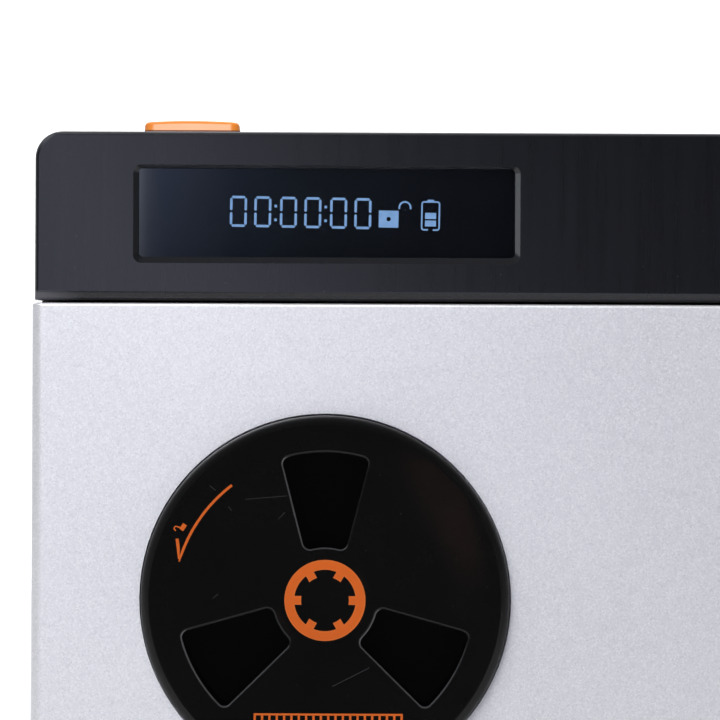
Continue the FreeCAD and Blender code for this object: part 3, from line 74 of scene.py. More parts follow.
class Nodes:
    """A material's node tree, with short ways to add and join nodes."""

    def __init__(self, name):
        self.material = bpy.data.materials.new(name)
        self.material.use_nodes = True
        self.tree = self.material.node_tree
        self.shader = next(n for n in self.tree.nodes if n.type == "BSDF_PRINCIPLED")

    def add(self, kind, **values):
        """New node. values set its properties, and its inputs where it has no such property."""
        node = self.tree.nodes.new("ShaderNode" + kind)
        for key, value in values.items():
            if hasattr(node, key):
                setattr(node, key, value)
            else:
                node.inputs[key.replace("_", " ")].default_value = value
        return node

    def link(self, a, b):
        self.tree.links.new(a, b)

    def feed(self, **sources):
        """Links sources to the shader's inputs, or sets them where they are plain values."""
        for key, source in sources.items():
            socket = self.shader.inputs[key.replace("_", " ")]
            if hasattr(source, "is_linked"):
                self.link(source, socket)
            else:
                socket.default_value = (*source, 1) if isinstance(source, tuple) else source

    def place(self):
        """Object coordinates, in metres."""
        return self.add("TexCoord").outputs["Object"]

    def along(self, axis):
        """One of the object coordinates."""
        split = self.add("SeparateXYZ")
        self.link(self.place(), split.inputs[0])
        return split.outputs[axis]

    def noise(self, scale, detail=3.0, rough=0.5, stretch=(1, 1, 1)):
        mapping = self.add("Mapping")
        mapping.inputs["Scale"].default_value = stretch
        self.link(self.place(), mapping.inputs["Vector"])
        noise = self.add("TexNoise", Scale=scale, Detail=detail, Roughness=rough)
        self.link(mapping.outputs[0], noise.inputs["Vector"])
        return noise.outputs["Fac"]

    def cells(self, scale):
        """Random value of each small cell."""
        cells = self.add("TexVoronoi", Scale=scale)
        self.link(self.place(), cells.inputs["Vector"])
        return self.span(cells.outputs["Color"], 0, 1)

    def specks(self, scale, radius):
        """1 inside small scattered dots, else 0."""
        cells = self.add("TexVoronoi", Scale=scale)
        self.link(self.place(), cells.inputs["Vector"])
        return self.math("LESS_THAN", cells.outputs["Distance"], radius)

    def from_knob_axis(self):
        """Distance from the knob's axis."""
        flat = self.add("VectorMath", operation="MULTIPLY_ADD")
        self.link(self.place(), flat.inputs[0])
        flat.inputs[1].default_value = (1, 0, 1)
        flat.inputs[2].default_value = (-KNOB_X, 0, -KNOB_Z)
        length = self.add("VectorMath", operation="LENGTH")
        self.link(flat.outputs[0], length.inputs[0])
        return length.outputs["Value"]

    def pocket_lips(self):
        """Two masks: 1 on the lips of the finger pockets, and 1 on the lips that face right or up, where a
        painted highlight goes.
        """
        facing = self.add("SeparateXYZ")
        self.link(self.add("TexCoord").outputs["Normal"], facing.inputs[0])
        turned = self.span(facing.outputs["Y"], 0, 1, -0.97, -0.85)
        way = self.span(self.math("MAXIMUM", facing.outputs["X"], facing.outputs["Z"]), 0, 1, 0.2, 0.5)
        shallow = self.span(self.along("Y"), 1, 0, KNOB_FACE_Y + 0.8 * MM, KNOB_FACE_Y + 1.0 * MM)
        inside = self.span(self.from_knob_axis(), 1, 0, DISH_RIM_R - 1.5 * MM, DISH_RIM_R - 1.2 * MM)
        lips = self.math("MULTIPLY", turned, self.math("MULTIPLY", shallow, inside))
        return lips, self.math("MULTIPLY", lips, way)

    def hairline(self, x, z, degrees, length, width):
        """1 on a straight scratch that crosses (x, z) in the XZ plane, else 0."""
        turn = self.add("VectorRotate", rotation_type="Y_AXIS", Center=(x, 0, z), Angle=math.radians(degrees))
        self.link(self.place(), turn.inputs["Vector"])
        split = self.add("SeparateXYZ")
        self.link(turn.outputs[0], split.inputs[0])
        within = []
        for output, centre, reach in (("X", x, length / 2), ("Z", z, width / 2)):
            test = self.add("Math", operation="COMPARE")
            self.link(split.outputs[output], test.inputs[0])
            test.inputs[1].default_value = centre
            test.inputs[2].default_value = reach
            within.append(test.outputs[0])
        return self.math("MULTIPLY", *within)

    def ramp(self, factor, *stops):
        """Colours along a factor: (position, colour) pairs."""
        ramp = self.add("ValToRGB")
        elements = ramp.color_ramp.elements
        while len(elements) < len(stops):
            elements.new(0.5)
        for element, (position, colour) in zip(elements, stops):
            element.position = position
            element.color = (*colour, 1)
        self.link(factor, ramp.inputs[0])
        return ramp.outputs[0]

    def span(self, factor, low, high, from_low=0.0, from_high=1.0):
        """factor's range moved to low..high."""
        node = self.add("MapRange", From_Min=from_low, From_Max=from_high, To_Min=low, To_Max=high)
        self.link(factor, node.inputs["Value"])
        return node.outputs[0]

    def mix(self, factor, a, b):
        """Colour a where factor is 0, and b where it is 1. The node's colours are its inputs 6 and 7."""
        node = self.add("Mix", data_type="RGBA")
        for value, socket in ((factor, 0), (a, 6), (b, 7)):
            if isinstance(value, (int, float, tuple)):
                node.inputs[socket].default_value = (*value, 1) if isinstance(value, tuple) else value
            else:
                self.link(value, node.inputs[socket])
        return node.outputs[2]

    def math(self, operation, a, b=None):
        node = self.add("Math", operation=operation)
        for value, socket in ((a, 0), (b, 1)):
            if isinstance(value, (int, float)):
                node.inputs[socket].default_value = value
            elif value is not None:
                self.link(value, node.inputs[socket])
        return node.outputs[0]

    def bump(self, height, strength, distance, onto=None):
        node = self.add("Bump", Strength=strength, Distance=distance)
        self.link(height, node.inputs["Height"])
        if onto is not None:
            self.link(onto, node.inputs["Normal"])
        return node.outputs[0]

    def worn_edges(self, radius):
        """1 where the surface turns an edge within radius, else 0."""
        bevel = self.add("Bevel", samples=4, Radius=radius)
        geometry = self.add("NewGeometry")
        dot = self.add("VectorMath", operation="DOT_PRODUCT")
        self.link(bevel.outputs[0], dot.inputs[0])
        self.link(geometry.outputs["True Normal"], dot.inputs[1])
        return self.span(dot.outputs["Value"], 1.0, 0.0, 0.80, 0.99)


def scaled(colour, factor):
    return tuple(min(1, c * factor) for c in colour)


def plastic(name, colour, rough, grain=0.0, grain_scale=FINE_GRAIN, spread=0.12, coat=0.0, edge=None,
            specular=0.5):
    """Moulded plastic with a little tone variation, and, where they are given, a fine grain, a coat and
    rubbed edges."""
    m = Nodes(name)
    tone = m.noise(45, 4, 0.6)
    base = m.ramp(tone, (0.3, scaled(colour, 1 - spread)), (0.7, scaled(colour, 1 + spread)))
    if edge:
        base = m.mix(m.math("MULTIPLY", m.worn_edges(WEAR_REACH), 0.35), base, edge)
    smudge = m.noise(90, 5, 0.65)
    m.feed(Base_Color=base, Roughness=m.span(smudge, rough * 0.85, rough * 1.2, 0.3, 0.7),
           Specular_IOR_Level=specular, Coat_Weight=coat, Coat_Roughness=0.1)
    if grain:
        m.feed(Normal=m.bump(m.noise(grain_scale, 2, 0.5), grain, GRAIN_DEPTH))
    return m.material


def metal(name, colour, rough, brush=(1, 1, 40)):
    """Steel, copper or brass with drawing lines and faint stains. brush packs the lines along an axis."""
    m = Nodes(name)
    lines = m.noise(700, 3, 0.6, stretch=brush)
    stain = m.noise(120, 4, 0.6)
    drawn = m.ramp(lines, (0.3, scaled(colour, 0.9)), (0.7, scaled(colour, 1.1)))
    m.feed(Base_Color=m.mix(m.span(stain, 0, 0.5, 0.4, 0.8), drawn, scaled(colour, 0.8)), Metallic=1.0,
           Roughness=m.span(lines, rough * 0.75, rough * 1.3, 0.3, 0.7),
           Normal=m.bump(lines, 0.25, 0.04 * MM))
    return m.material


# ---------------------------------------------------------------- materials

def head_black():
    """Satin black moulding with faint flow marks down its face and specks of dust. The left end of its lower
    edge has a painted highlight, and a painted sheen lightens the front along its top edge and round its
    upper left corner."""
    m = Nodes("head_black")
    marks = m.noise(500, 4, 0.6, stretch=(1, 1, 0.06))
    base = m.ramp(marks, (0.3, (0.0115, 0.0120, 0.0150)), (0.7, (0.0143, 0.0148, 0.0185)))
    base = m.mix(m.specks(350, 0.04), base, (0.05, 0.05, 0.055))
    # Painted highlight: the base is lightened on the left end of the lower edge.
    left = m.span(m.along("X"), 1, 0, HEAD_LOW.x + 1.5 * MM, HEAD_LOW.x + 7.5 * MM)
    low = m.span(m.along("Z"), 1, 0, HEAD_LOW.z + 1.2 * MM, HEAD_LOW.z + 1.7 * MM)
    base = m.mix(m.math("MULTIPLY", left, low), base, (0.11, 0.11, 0.125))
    # Painted sheen: the base is lightened at the front along the top edge and round the upper left corner.
    corner = HEAD_LOW.x - HEAD_HIGH.z
    from_corner = m.math("SUBTRACT", m.along("X"), m.along("Z"))
    upper_corner = m.span(from_corner, 1, 0, corner + 2.4 * MM, corner + 3.9 * MM)
    top_edge = m.span(m.along("Z"), 0, 0.55, HEAD_HIGH.z - 0.6 * MM, HEAD_HIGH.z - 0.25 * MM)
    front = m.span(m.along("Y"), 1, 0, HEAD_LOW.y + 0.35 * MM, HEAD_LOW.y + 0.6 * MM)
    painted_highlight = m.math("MULTIPLY", front, m.math("MAXIMUM", upper_corner, top_edge))
    m.feed(Base_Color=m.mix(painted_highlight, base, (0.13, 0.13, 0.145)),
           Roughness=m.span(marks, 0.178, 0.205, 0.3, 0.7),
           Normal=m.bump(m.noise(FINE_GRAIN, 2, 0.5), 0.05, GRAIN_DEPTH))
    return m.material


def door_silver():
    """Silver paint: fine bright flakes in a pale grey lacquer, over a faint orange peel."""
    m = Nodes("door_silver")
    tone = m.noise(30, 3, 0.5)
    base = m.ramp(tone, (0.25, (0.64, 0.64, 0.665)), (0.75, (0.68, 0.68, 0.705)))
    flakes = m.cells(4300)
    base = m.mix(m.span(flakes, 0, 0.5, 0.5, 1.0), base, (0.86, 0.86, 0.88))
    base = m.mix(m.span(flakes, 0.35, 0, 0.0, 0.3), base, (0.42, 0.42, 0.45))
    peel = m.bump(m.noise(900, 2, 0.5), 0.10, GRAIN_DEPTH)
    m.feed(Base_Color=base, Metallic=0.6, Roughness=m.span(flakes, 0.36, 0.48),
           Normal=m.bump(flakes, 0.14, 0.02 * MM, peel), Coat_Weight=0.15, Coat_Roughness=0.3)
    return m.material


# Fine scratches on the knob: place from its axis in mm, angle in degrees, length in mm. All are as wide.
SCRATCHES = ((-9.5, 16.5, 5, 6.8), (-7.0, 13.6, 45, 1.6), (4.2, -12.3, 27, 6.7), (-18.1, 18.0, -40, 1.2),
             (-15.3, 14.7, -54, 0.8), (-17.6, 0.6, 40, 1.2))
SCRATCH_WIDTH = 0.09 * MM


def knob_black():
    """Glossy black with a few fine scratches, specks of dust and a softer rolled rim. The pocket floors carry
    painted shade, and the dull pocket lips carry a painted highlight on the side that faces right or up."""
    m = Nodes("knob_black")
    haze = m.noise(60, 5, 0.6)
    base = m.ramp(haze, (0.3, (0.0078, 0.0078, 0.0078)), (0.7, (0.0100, 0.0099, 0.0097)))
    for u, v, degrees, length in SCRATCHES:
        line = m.hairline(KNOB_X + u * MM, KNOB_Z + v * MM, degrees, length * MM, SCRATCH_WIDTH)
        base = m.mix(m.math("MULTIPLY", line, 0.8), base, (0.11, 0.112, 0.116))
    base = m.mix(m.specks(400, 0.04), base, (0.05, 0.05, 0.05))
    # Painted shade: the pocket floors, deeper than the face, are darkened.
    painted_pocket_shade = m.span(m.along("Y"), 0, 1, KNOB_FACE_Y + 1.2 * MM, KNOB_FACE_Y + 1.8 * MM)
    base = m.mix(painted_pocket_shade, base, (0.003, 0.003, 0.003))
    # Painted highlight: the lips that face right or up are lightened.
    lips, painted_highlight = m.pocket_lips()
    base = m.mix(painted_highlight, base, (0.22, 0.22, 0.225))
    rim = m.span(m.from_knob_axis(), 0, 0.33, DISH_RIM_R - 0.3 * MM, DISH_RIM_R + 0.2 * MM)
    dull = m.math("ADD", rim, m.math("MULTIPLY", lips, 0.45))
    smudge = m.noise(140, 5, 0.7)
    m.feed(Base_Color=base, Roughness=m.math("ADD", m.span(smudge, 0.04, 0.075, 0.35, 0.7), dull),
           Specular_IOR_Level=0.33)
    return m.material


def button_orange():
    """Satin orange cap with a little tone variation, and painted shade round its foot where it enters the
    head; the foot is rougher there too.
    """
    m = Nodes("button_orange")
    base = m.ramp(m.noise(45, 4, 0.6), (0.3, (0.80, 0.24, 0.026)), (0.7, (0.88, 0.26, 0.028)))
    base = m.mix(m.math("MULTIPLY", m.worn_edges(WEAR_REACH), 0.1), base, (0.95, 0.45, 0.15))
    # Painted shade: the cap is darkened round its foot, where it enters the head.
    painted_foot_shade = m.span(m.along("Z"), 1, 0, HEAD_HIGH.z + 0.33 * MM, HEAD_HIGH.z + 0.52 * MM)
    base = m.mix(m.math("MULTIPLY", painted_foot_shade, 0.92), base, (0.05, 0.013, 0.010))
    smudge = m.span(m.noise(90, 5, 0.65), 0.28, 0.35, 0.3, 0.7)
    m.feed(Base_Color=base, Roughness=m.math("ADD", smudge, m.math("MULTIPLY", painted_foot_shade, 0.4)),
           Specular_IOR_Level=0.4, Coat_Weight=0.05, Coat_Roughness=0.22)
    return m.material


def lens_smoke():
    """Smoked window: mostly clear, with a faint haze of dust."""
    m = Nodes("lens_smoke")
    dust = m.noise(500, 4, 0.7)
    m.feed(Base_Color=m.ramp(dust, (0.4, (0.55, 0.60, 0.68)), (0.8, (0.62, 0.66, 0.72))),
           Transmission_Weight=1.0, IOR=1.3, Roughness=m.span(dust, 0.05, 0.08, 0.4, 0.8))
    return m.material


# Painted glow that spreads in from the display's left edge: share of the way across, colour.
PAINTED_EDGE_GLOW = (
    (0.0, (0.115, 0.120, 0.138)),
    (0.02, (0.064, 0.069, 0.086)),
    (0.035, (0.050, 0.054, 0.074)),
    (0.065, (0.034, 0.040, 0.061)),
    (0.17, (0.024, 0.028, 0.040)),
    (0.25, (0.014, 0.018, 0.027)),
    (0.45, (0.0078, 0.0098, 0.0125)),
    (0.75, (0.0040, 0.0046, 0.0064)),
    (1.0, (0.0020, 0.0018, 0.0028)),
)


def display_dark():
    """Dark segment glass, with a painted glow that spreads in from its left edge, most at the top."""
    m = Nodes("display_dark")
    cloud = m.noise(70, 3, 0.5)
    # Painted glow: the emission is brightest at the left edge and towards the top.
    painted_glow = m.ramp(m.span(m.along("X"), 0, 1, GLASS_LOW.x, GLASS_HIGH.x), *PAINTED_EDGE_GLOW)
    height = m.span(m.along("Z"), 0.6, 1.05, GLASS_LOW.z, GLASS_HIGH.z)
    wisp = m.span(m.noise(240, 3, 0.5, stretch=(1, 1, 0.15)), 0.95, 1.10, 0.35, 0.75)
    m.feed(Base_Color=m.ramp(cloud, (0.3, (0.004, 0.005, 0.008)), (0.8, (0.007, 0.009, 0.013))),
           Roughness=m.span(cloud, 0.24, 0.26, 0.3, 0.7), Emission_Color=painted_glow,
           Emission_Strength=m.math("MULTIPLY", height, wisp))
    return m.material


def glyph_blue():
    """Lit display segments."""
    m = Nodes("glyph_blue")
    glow = m.noise(900, 2, 0.5)
    colour = m.ramp(glow, (0.3, (0.22, 0.37, 0.58)), (0.7, (0.27, 0.43, 0.65)))
    m.feed(Base_Color=colour, Emission_Color=colour, Emission_Strength=1.15, Roughness=0.4)
    return m.material


def board_green():
    """Solder mask with darker tracks and a sprinkle of pads."""
    m = Nodes("board_green")
    tracks = m.add("TexBrick", Scale=260.0)
    m.link(m.place(), tracks.inputs["Vector"])
    speck = m.noise(1500, 2, 0.5)
    base = m.mix(m.span(tracks.outputs["Fac"], 0, 0.6), (0.01, 0.10, 0.045), (0.03, 0.20, 0.09))
    base = m.mix(m.span(speck, 0, 0.8, 0.62, 0.68), base, (0.55, 0.50, 0.30))
    m.feed(Base_Color=base, Roughness=m.span(speck, 0.28, 0.45))
    return m.material


MATERIALS = {
    "housing_black": plastic("housing_black", (0.012, 0.0125, 0.014), 0.42, grain=0.55, grain_scale=2600,
                             edge=(0.08, 0.08, 0.085)),
    "head_black": head_black(),
    "foot_rubber": plastic("foot_rubber", (0.018, 0.018, 0.019), 0.75, grain=0.7, grain_scale=1500),
    "inner_black": plastic("inner_black", (0.03, 0.03, 0.033), 0.5, grain=0.4),
    "liner_grey": plastic("liner_grey", (0.055, 0.056, 0.062), 0.55, grain=0.7, grain_scale=1800),
    "button_orange": button_orange(),
    "signal_orange": plastic("signal_orange", (0.68, 0.12, 0.006), 0.42, specular=0.3, spread=0.06,
                             grain=0.15, edge=(0.80, 0.25, 0.06)),
    "backlight_white": plastic("backlight_white", (0.75, 0.77, 0.80), 0.5, spread=0.04),
    "cell_sleeve": plastic("cell_sleeve", (0.03, 0.13, 0.42), 0.30, spread=0.08, coat=0.4),
    "screw_steel": metal("screw_steel", (0.20, 0.20, 0.21), 0.35, brush=(1, 1, 1)),
    "bright_steel": metal("bright_steel", (0.60, 0.60, 0.61), 0.28),
    "yoke_steel": metal("yoke_steel", (0.60, 0.57, 0.48), 0.35, brush=(40, 1, 1)),
    "coil_copper": metal("coil_copper", (0.72, 0.30, 0.14), 0.30, brush=(1, 60, 1)),
    "contact_brass": metal("contact_brass", (0.75, 0.64, 0.38), 0.25),
    "port_metal": metal("port_metal", (0.62, 0.62, 0.63), 0.2, brush=(1, 1, 1)),
    "door_silver": door_silver(),
    "knob_black": knob_black(),
    "smoked_lens": lens_smoke(),
    "display_dark": display_dark(),
    "board_green": board_green(),
}
GLYPH = glyph_blue()

for part in frame["record"]["subparts"]:
    node = nodes[part["node"]]
    node.data.materials.clear()
    node.data.materials.append(MATERIALS[part["material_slot"]])
    for polygon in node.data.polygons:
        polygon.use_smooth = True
    node.data.set_sharp_from_angle(angle=SHARP_OVER)


# ---------------------------------------------------------------- thin printed pieces

class Print:
    """A thin layer of flat shapes. Outlines are in mm, right and up. to_space turns (u, v, height) into a
    point in metres."""

    def __init__(self, to_space, thick):
        self.to_space, self.thick = to_space, thick
        self.vertices, self.faces = [], []

    def layer(self, points):
        """Adds the points at both heights. Returns the number of the first, and how many there are."""
        start = len(self.vertices)
        for height in (0.0, self.thick):
            self.vertices += [self.to_space(u, v, height) for u, v in points]
        return start, len(points)

    def patch(self, points):
        """Flat shape inside a convex outline, anticlockwise."""
        start, count = self.layer(points)
        self.faces.append([start + count + i for i in range(count)])
        self.faces.append([start + i for i in reversed(range(count))])
        for i in range(count):
            j = (i + 1) % count
            self.faces.append([start + i, start + j, start + count + j, start + count + i])

    def band(self, left, right, closed=False):
        """Shape between two lines of points, left and right of the way along."""
        first, count = self.layer(left)
        other, _ = self.layer(right)
        steps = count if closed else count - 1
        for i in range(steps):
            j = (i + 1) % count
            a, b, c, d = first + i, first + j, other + i, other + j
            self.faces += [[a + count, c + count, d + count, b + count], [a, b, d, c],
                           [a, a + count, b + count, b], [c, d, d + count, c + count]]
        if not closed:
            a, b, c, d = first, first + count - 1, other, other + count - 1
            self.faces += [[a, c, c + count, a + count], [b, b + count, d + count, d]]

    def line(self, points, width):
        """Stroke along points. width is a number, or a function of the share of the way along."""
        left, right = [], []
        last = len(points) - 1
        for i, (x, y) in enumerate(points):
            ahead, behind = points[min(i + 1, last)], points[max(i - 1, 0)]
            dx, dy = ahead[0] - behind[0], ahead[1] - behind[1]
            half = (width(i / last) if callable(width) else width) / 2 / math.hypot(dx, dy)
            left.append((x - dy * half, y + dx * half))
            right.append((x + dy * half, y - dx * half))
        self.band(left, right)

    def piece(self, name, material, body, slot):
        """Makes the layer one piece of the scene, which rides on a body."""
        mesh = bpy.data.meshes.new(name)
        mesh.from_pydata(self.vertices, [], self.faces)
        mesh.validate()
        mesh.materials.append(material)
        piece = bpy.data.objects.new(name, mesh)
        bpy.context.scene.collection.objects.link(piece)
        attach(piece, body)


def arc(x, y, radius, start, end, step):
    """Points of an arc, in degrees."""
    count = round(abs(end - start) / step)
    angles = [math.radians(start + (end - start) * i / count) for i in range(count + 1)]
    return [(x + radius * math.cos(a), y + radius * math.sin(a)) for a in angles]


def rectangle(x, y, width, height):
    """Corners round a middle, anticlockwise."""
    return [(x + sx * width / 2, y + sy * height / 2) for sx, sy in ((-1, -1), (1, -1), (1, 1), (-1, 1))]


# ---------------------------------------------------------------- lit segments of the display

# In mm, and places from the module's middle. The module's own place and turn are from the window's middle.
DISPLAY_TURN = math.radians(-0.84)
DISPLAY_RIGHT, DISPLAY_UP = -0.20, -0.25
MARK_THICK = 0.02
DIGIT_WIDTH, DIGIT_HEIGHT, BAR, BAR_GAP, BAR_TIP = 2.35, 4.62, 0.40, 0.13, 0.35
FIRST_DIGIT, DIGIT_STEP, PAIR_STEP, DIGIT_LEVEL = -14.13, 3.94, 8.11, 0.31
COLON_DOT, COLON_HIGH, COLON_LOW = 0.42, 1.27, -0.96
PADLOCK_PLACE, BATTERY_PLACE = (10.21, -0.50), (17.0, 0.14)


def on_glass(u, v, height):
    """Display coordinates in mm from the window's middle. The module sits slightly askew in its window."""
    x = DISPLAY_RIGHT + u * math.cos(DISPLAY_TURN) - v * math.sin(DISPLAY_TURN)
    z = DISPLAY_UP + u * math.sin(DISPLAY_TURN) + v * math.cos(DISPLAY_TURN)
    return WINDOW_X + x * MM, GLASS_LOW.y - height * MM, WINDOW_Z + z * MM


def segment(layer, x, y, length, upright):
    """Bar of a digit round its middle, with blunt points."""
    half, reach, tip = BAR / 2, length / 2, BAR * BAR_TIP
    outline = [(-reach, 0), (tip - reach, -half), (reach - tip, -half),
               (reach, 0), (reach - tip, half), (tip - reach, half)]
    layer.patch([(x - b, y + a) if upright else (x + a, y + b) for a, b in outline])


def zero(layer, x, y):
    """Digit in six bars: its middle bar is off."""
    for level in (-1, 1):
        segment(layer, x, y + level * DIGIT_HEIGHT / 2, DIGIT_WIDTH - BAR_GAP, False)
        for side in (-1, 1):
            segment(layer, x + side * DIGIT_WIDTH / 2, y + level * DIGIT_HEIGHT / 4,
                    DIGIT_HEIGHT / 2 - BAR_GAP * 2, True)


def padlock(layer, x, y):
    """Open padlock: a body with a keyhole, and a shackle that has swung out to the right."""
    width, height, hole, nearly_zero = 3.19, 2.75, 0.36, 1e-9
    corner = math.degrees(math.atan2(height, width))
    angles = sorted(list(range(0, 360, 20)) + [corner, 180 - corner, 180 + corner, 360 - corner])
    rim, body = [], []
    for degrees in angles:
        c, s = math.cos(math.radians(degrees)), math.sin(math.radians(degrees))
        reach = min(width / 2 / max(abs(c), nearly_zero), height / 2 / max(abs(s), nearly_zero))
        rim.append((x + hole * c, y + hole * s))
        body.append((x + reach * c, y + reach * s))
    layer.band(rim, body, closed=True)
    shackle_x, shackle_y, radius, leg, stroke = x + 2.61, y + 1.92, 0.915, 0.25, 0.27
    layer.line([(shackle_x - radius, shackle_y - leg)] + arc(shackle_x, shackle_y, radius, 180, 0, 12)
               + [(shackle_x + radius, shackle_y - leg)], stroke)


def battery(layer, x, y):
    """Battery outline, open at the bottom, with a cap and two charge bars."""
    half_width, half_height, corner, gap, stroke = 1.415, 2.265, 0.35, 0.39, 0.25
    cap_width, cap_height, charge_width = 1.07, 0.24, 1.78
    bends = []
    for sx, sy, start in ((-1, -1, 270), (-1, 1, 180), (1, 1, 90), (1, -1, 0)):
        bend_x, bend_y = x + sx * (half_width - corner), y + sy * (half_height - corner)
        bends += arc(bend_x, bend_y, corner, start, start - 90, 18)
    layer.line([(x - gap, y - half_height)] + bends + [(x + gap, y - half_height)], stroke)
    layer.patch(rectangle(x, y + half_height + cap_height, cap_width, cap_height))
    for level, charge_height in ((0, 1.00), (-1.22, 0.96)):
        layer.patch(rectangle(x, y + level, charge_width, charge_height))


def display_marks():
    """Six digits in three pairs with colons between them, then the padlock and the battery."""
    layer = Print(on_glass, MARK_THICK)
    for pair in range(3):
        for digit in range(2):
            zero(layer, FIRST_DIGIT + pair * PAIR_STEP + digit * DIGIT_STEP, DIGIT_LEVEL)
    for pair in range(2):
        x = FIRST_DIGIT + (DIGIT_STEP + PAIR_STEP) / 2 + pair * PAIR_STEP
        for y in (COLON_HIGH, COLON_LOW):
            layer.patch(rectangle(x, y, COLON_DOT, COLON_DOT))
    padlock(layer, *PADLOCK_PLACE)
    battery(layer, *BATTERY_PLACE)
    layer.piece("display_marks", GLYPH, "housing", "display_dark")


# ---------------------------------------------------------------- print on the knob

# In mm and degrees, and places from the knob's axis.
PRINT_THICK, PRINT_LIFT = 0.012, 0.004
ARROW_START, ARROW_TURN, ARROW_STEPS = 129.1, 36.2, 24
ARROW_R, ARROW_R_GAIN, ARROW_STROKE = 23.8, 0.45, 0.42
TAPER_START, TAPER = 0.9, 2.4
BARB_TIP, BARB_END = (-23.60, 8.4), (-23.78, 9.85)
LOCK_PLACE, LOCK_HALF_WIDTH, LOCK_HALF_HEIGHT, LOCK_LEAN = (-22.83, 11.71), 0.55, 0.37, math.radians(56)
SHACKLE_FOOT, SHACKLE_PLACE, SHACKLE_R, SHACKLE_STROKE = (-23.32, 11.70), (-23.92, 11.50), 0.34, 0.20
SCALE_LEFT, SCALE_RIGHT, SCALE_TOP, SCALE_STEPS, LONG_EVERY = -11.2, 12.4, -18.15, 20, 5
RULE_WIDTH, TICK_WIDTH, TICK_TOP, TICK_LONG, TICK_SHORT = 0.32, 0.36, 0.34, 2.7, 1.7


def on_knob(u, v, height):
    """Knob coordinates in mm from its axis, on the dished face."""
    share = (math.hypot(u, v) * MM - HUB_FLAT_R) / (DISH_RIM_R - HUB_FLAT_R)
    level = DISH * (1 - min(max(share, 0), 1))
    return KNOB_X + u * MM, KNOB_FACE_Y + level - (height + PRINT_LIFT) * MM, KNOB_Z + v * MM


def arrow_sweep():
    """Points of the arrow's line, from its tail to its tip."""
    points = []
    for i in range(ARROW_STEPS + 1):
        t = i / ARROW_STEPS
        radius, a = ARROW_R + ARROW_R_GAIN * t, math.radians(ARROW_START + ARROW_TURN * t)
        points.append((radius * math.cos(a), radius * math.sin(a)))
    return points


def arrow_width(t):
    """Width of the arrow's line at share t of its way. It tapers to its tip."""
    return ARROW_STROKE if t < TAPER_START else ARROW_STROKE - TAPER * (t - TAPER_START)


def barb_width(t):
    """Width of the arrow's one barb, which is thin at the arrow's tip."""
    return 0.26 + 0.24 * min(1, 2 * t)


def knob_arrow():
    """Opening arrow, an arc round the knob's axis with one barb, and a small open padlock beside it."""
    layer = Print(on_knob, PRINT_THICK)
    sweep = arrow_sweep()
    layer.line(sweep, arrow_width)
    tip_x, tip_y = sweep[-1]
    layer.line([(tip_x - 0.03, tip_y + 0.4), BARB_TIP, BARB_END], barb_width)
    c, s = math.cos(LOCK_LEAN), math.sin(LOCK_LEAN)
    x, y = LOCK_PLACE
    layer.patch([(x + a * c * LOCK_HALF_WIDTH - b * s * LOCK_HALF_HEIGHT,
                  y + a * s * LOCK_HALF_WIDTH + b * c * LOCK_HALF_HEIGHT)
                 for a, b in ((-1, -1), (1, -1), (1, 1), (-1, 1))])
    layer.line([SHACKLE_FOOT] + arc(*SHACKLE_PLACE, SHACKLE_R, 40, 262, 18), SHACKLE_STROKE)
    layer.piece("knob_arrow", MATERIALS["signal_orange"], "knob", "signal_orange")


def knob_scale():
    """Plain graduated scale on the knob's lower part: a rule with ticks below it."""
    layer = Print(on_knob, PRINT_THICK)
    length = SCALE_RIGHT - SCALE_LEFT
    rule_x, rule_y = (SCALE_LEFT + SCALE_RIGHT) / 2, SCALE_TOP - RULE_WIDTH / 2
    layer.patch(rectangle(rule_x, rule_y, length + TICK_WIDTH, RULE_WIDTH))
    for i in range(SCALE_STEPS + 1):
        tick = TICK_LONG if i % LONG_EVERY == 0 else TICK_SHORT
        x, y = SCALE_LEFT + length * i / SCALE_STEPS, SCALE_TOP - TICK_TOP - tick / 2
        layer.patch(rectangle(x, y, TICK_WIDTH, tick))
    layer.piece("knob_scale", MATERIALS["signal_orange"], "knob", "signal_orange")


display_marks()
knob_arrow()
knob_scale()


# ---------------------------------------------------------------- stage, lights, camera

FLOOR_BACK, BEND_R, WALL_TOP, HALF_FLOOR = 1.2, 0.8, 4.0, 4.0
FLOOR_FRONT = ((-0.33, -0.06), (-0.326, -0.004), (-0.32, 0.0))   # it ends before the camera and turns down


def stage():
    """Pale floor that curves up into a backdrop."""
    mesh = bpy.data.meshes.new("floor")
    profile = [*FLOOR_FRONT, (FLOOR_BACK, 0.0)]
    profile += [(FLOOR_BACK + y, BEND_R + z) for y, z in arc(0, 0, BEND_R, -84, 0, 6)]
    profile.append((FLOOR_BACK + BEND_R, WALL_TOP))
    vertices = [(x, y, z) for x in (-HALF_FLOOR, HALF_FLOOR) for y, z in profile]
    count = len(profile)
    mesh.from_pydata(vertices, [], [(i, i + 1, count + i + 1, count + i) for i in range(count - 1)])
    for polygon in mesh.polygons:
        polygon.use_smooth = True
    floor = bpy.data.objects.new("floor", mesh)
    bpy.context.scene.collection.objects.link(floor)
    m = Nodes("floor_pale")
    tone = m.noise(6, 3, 0.5)
    m.feed(Base_Color=m.ramp(tone, (0.3, (0.70, 0.70, 0.705)), (0.7, (0.74, 0.74, 0.74))), Roughness=0.9)
    mesh.materials.append(m.material)


SUBJECT = (WINDOW_X, 0, 0.08)


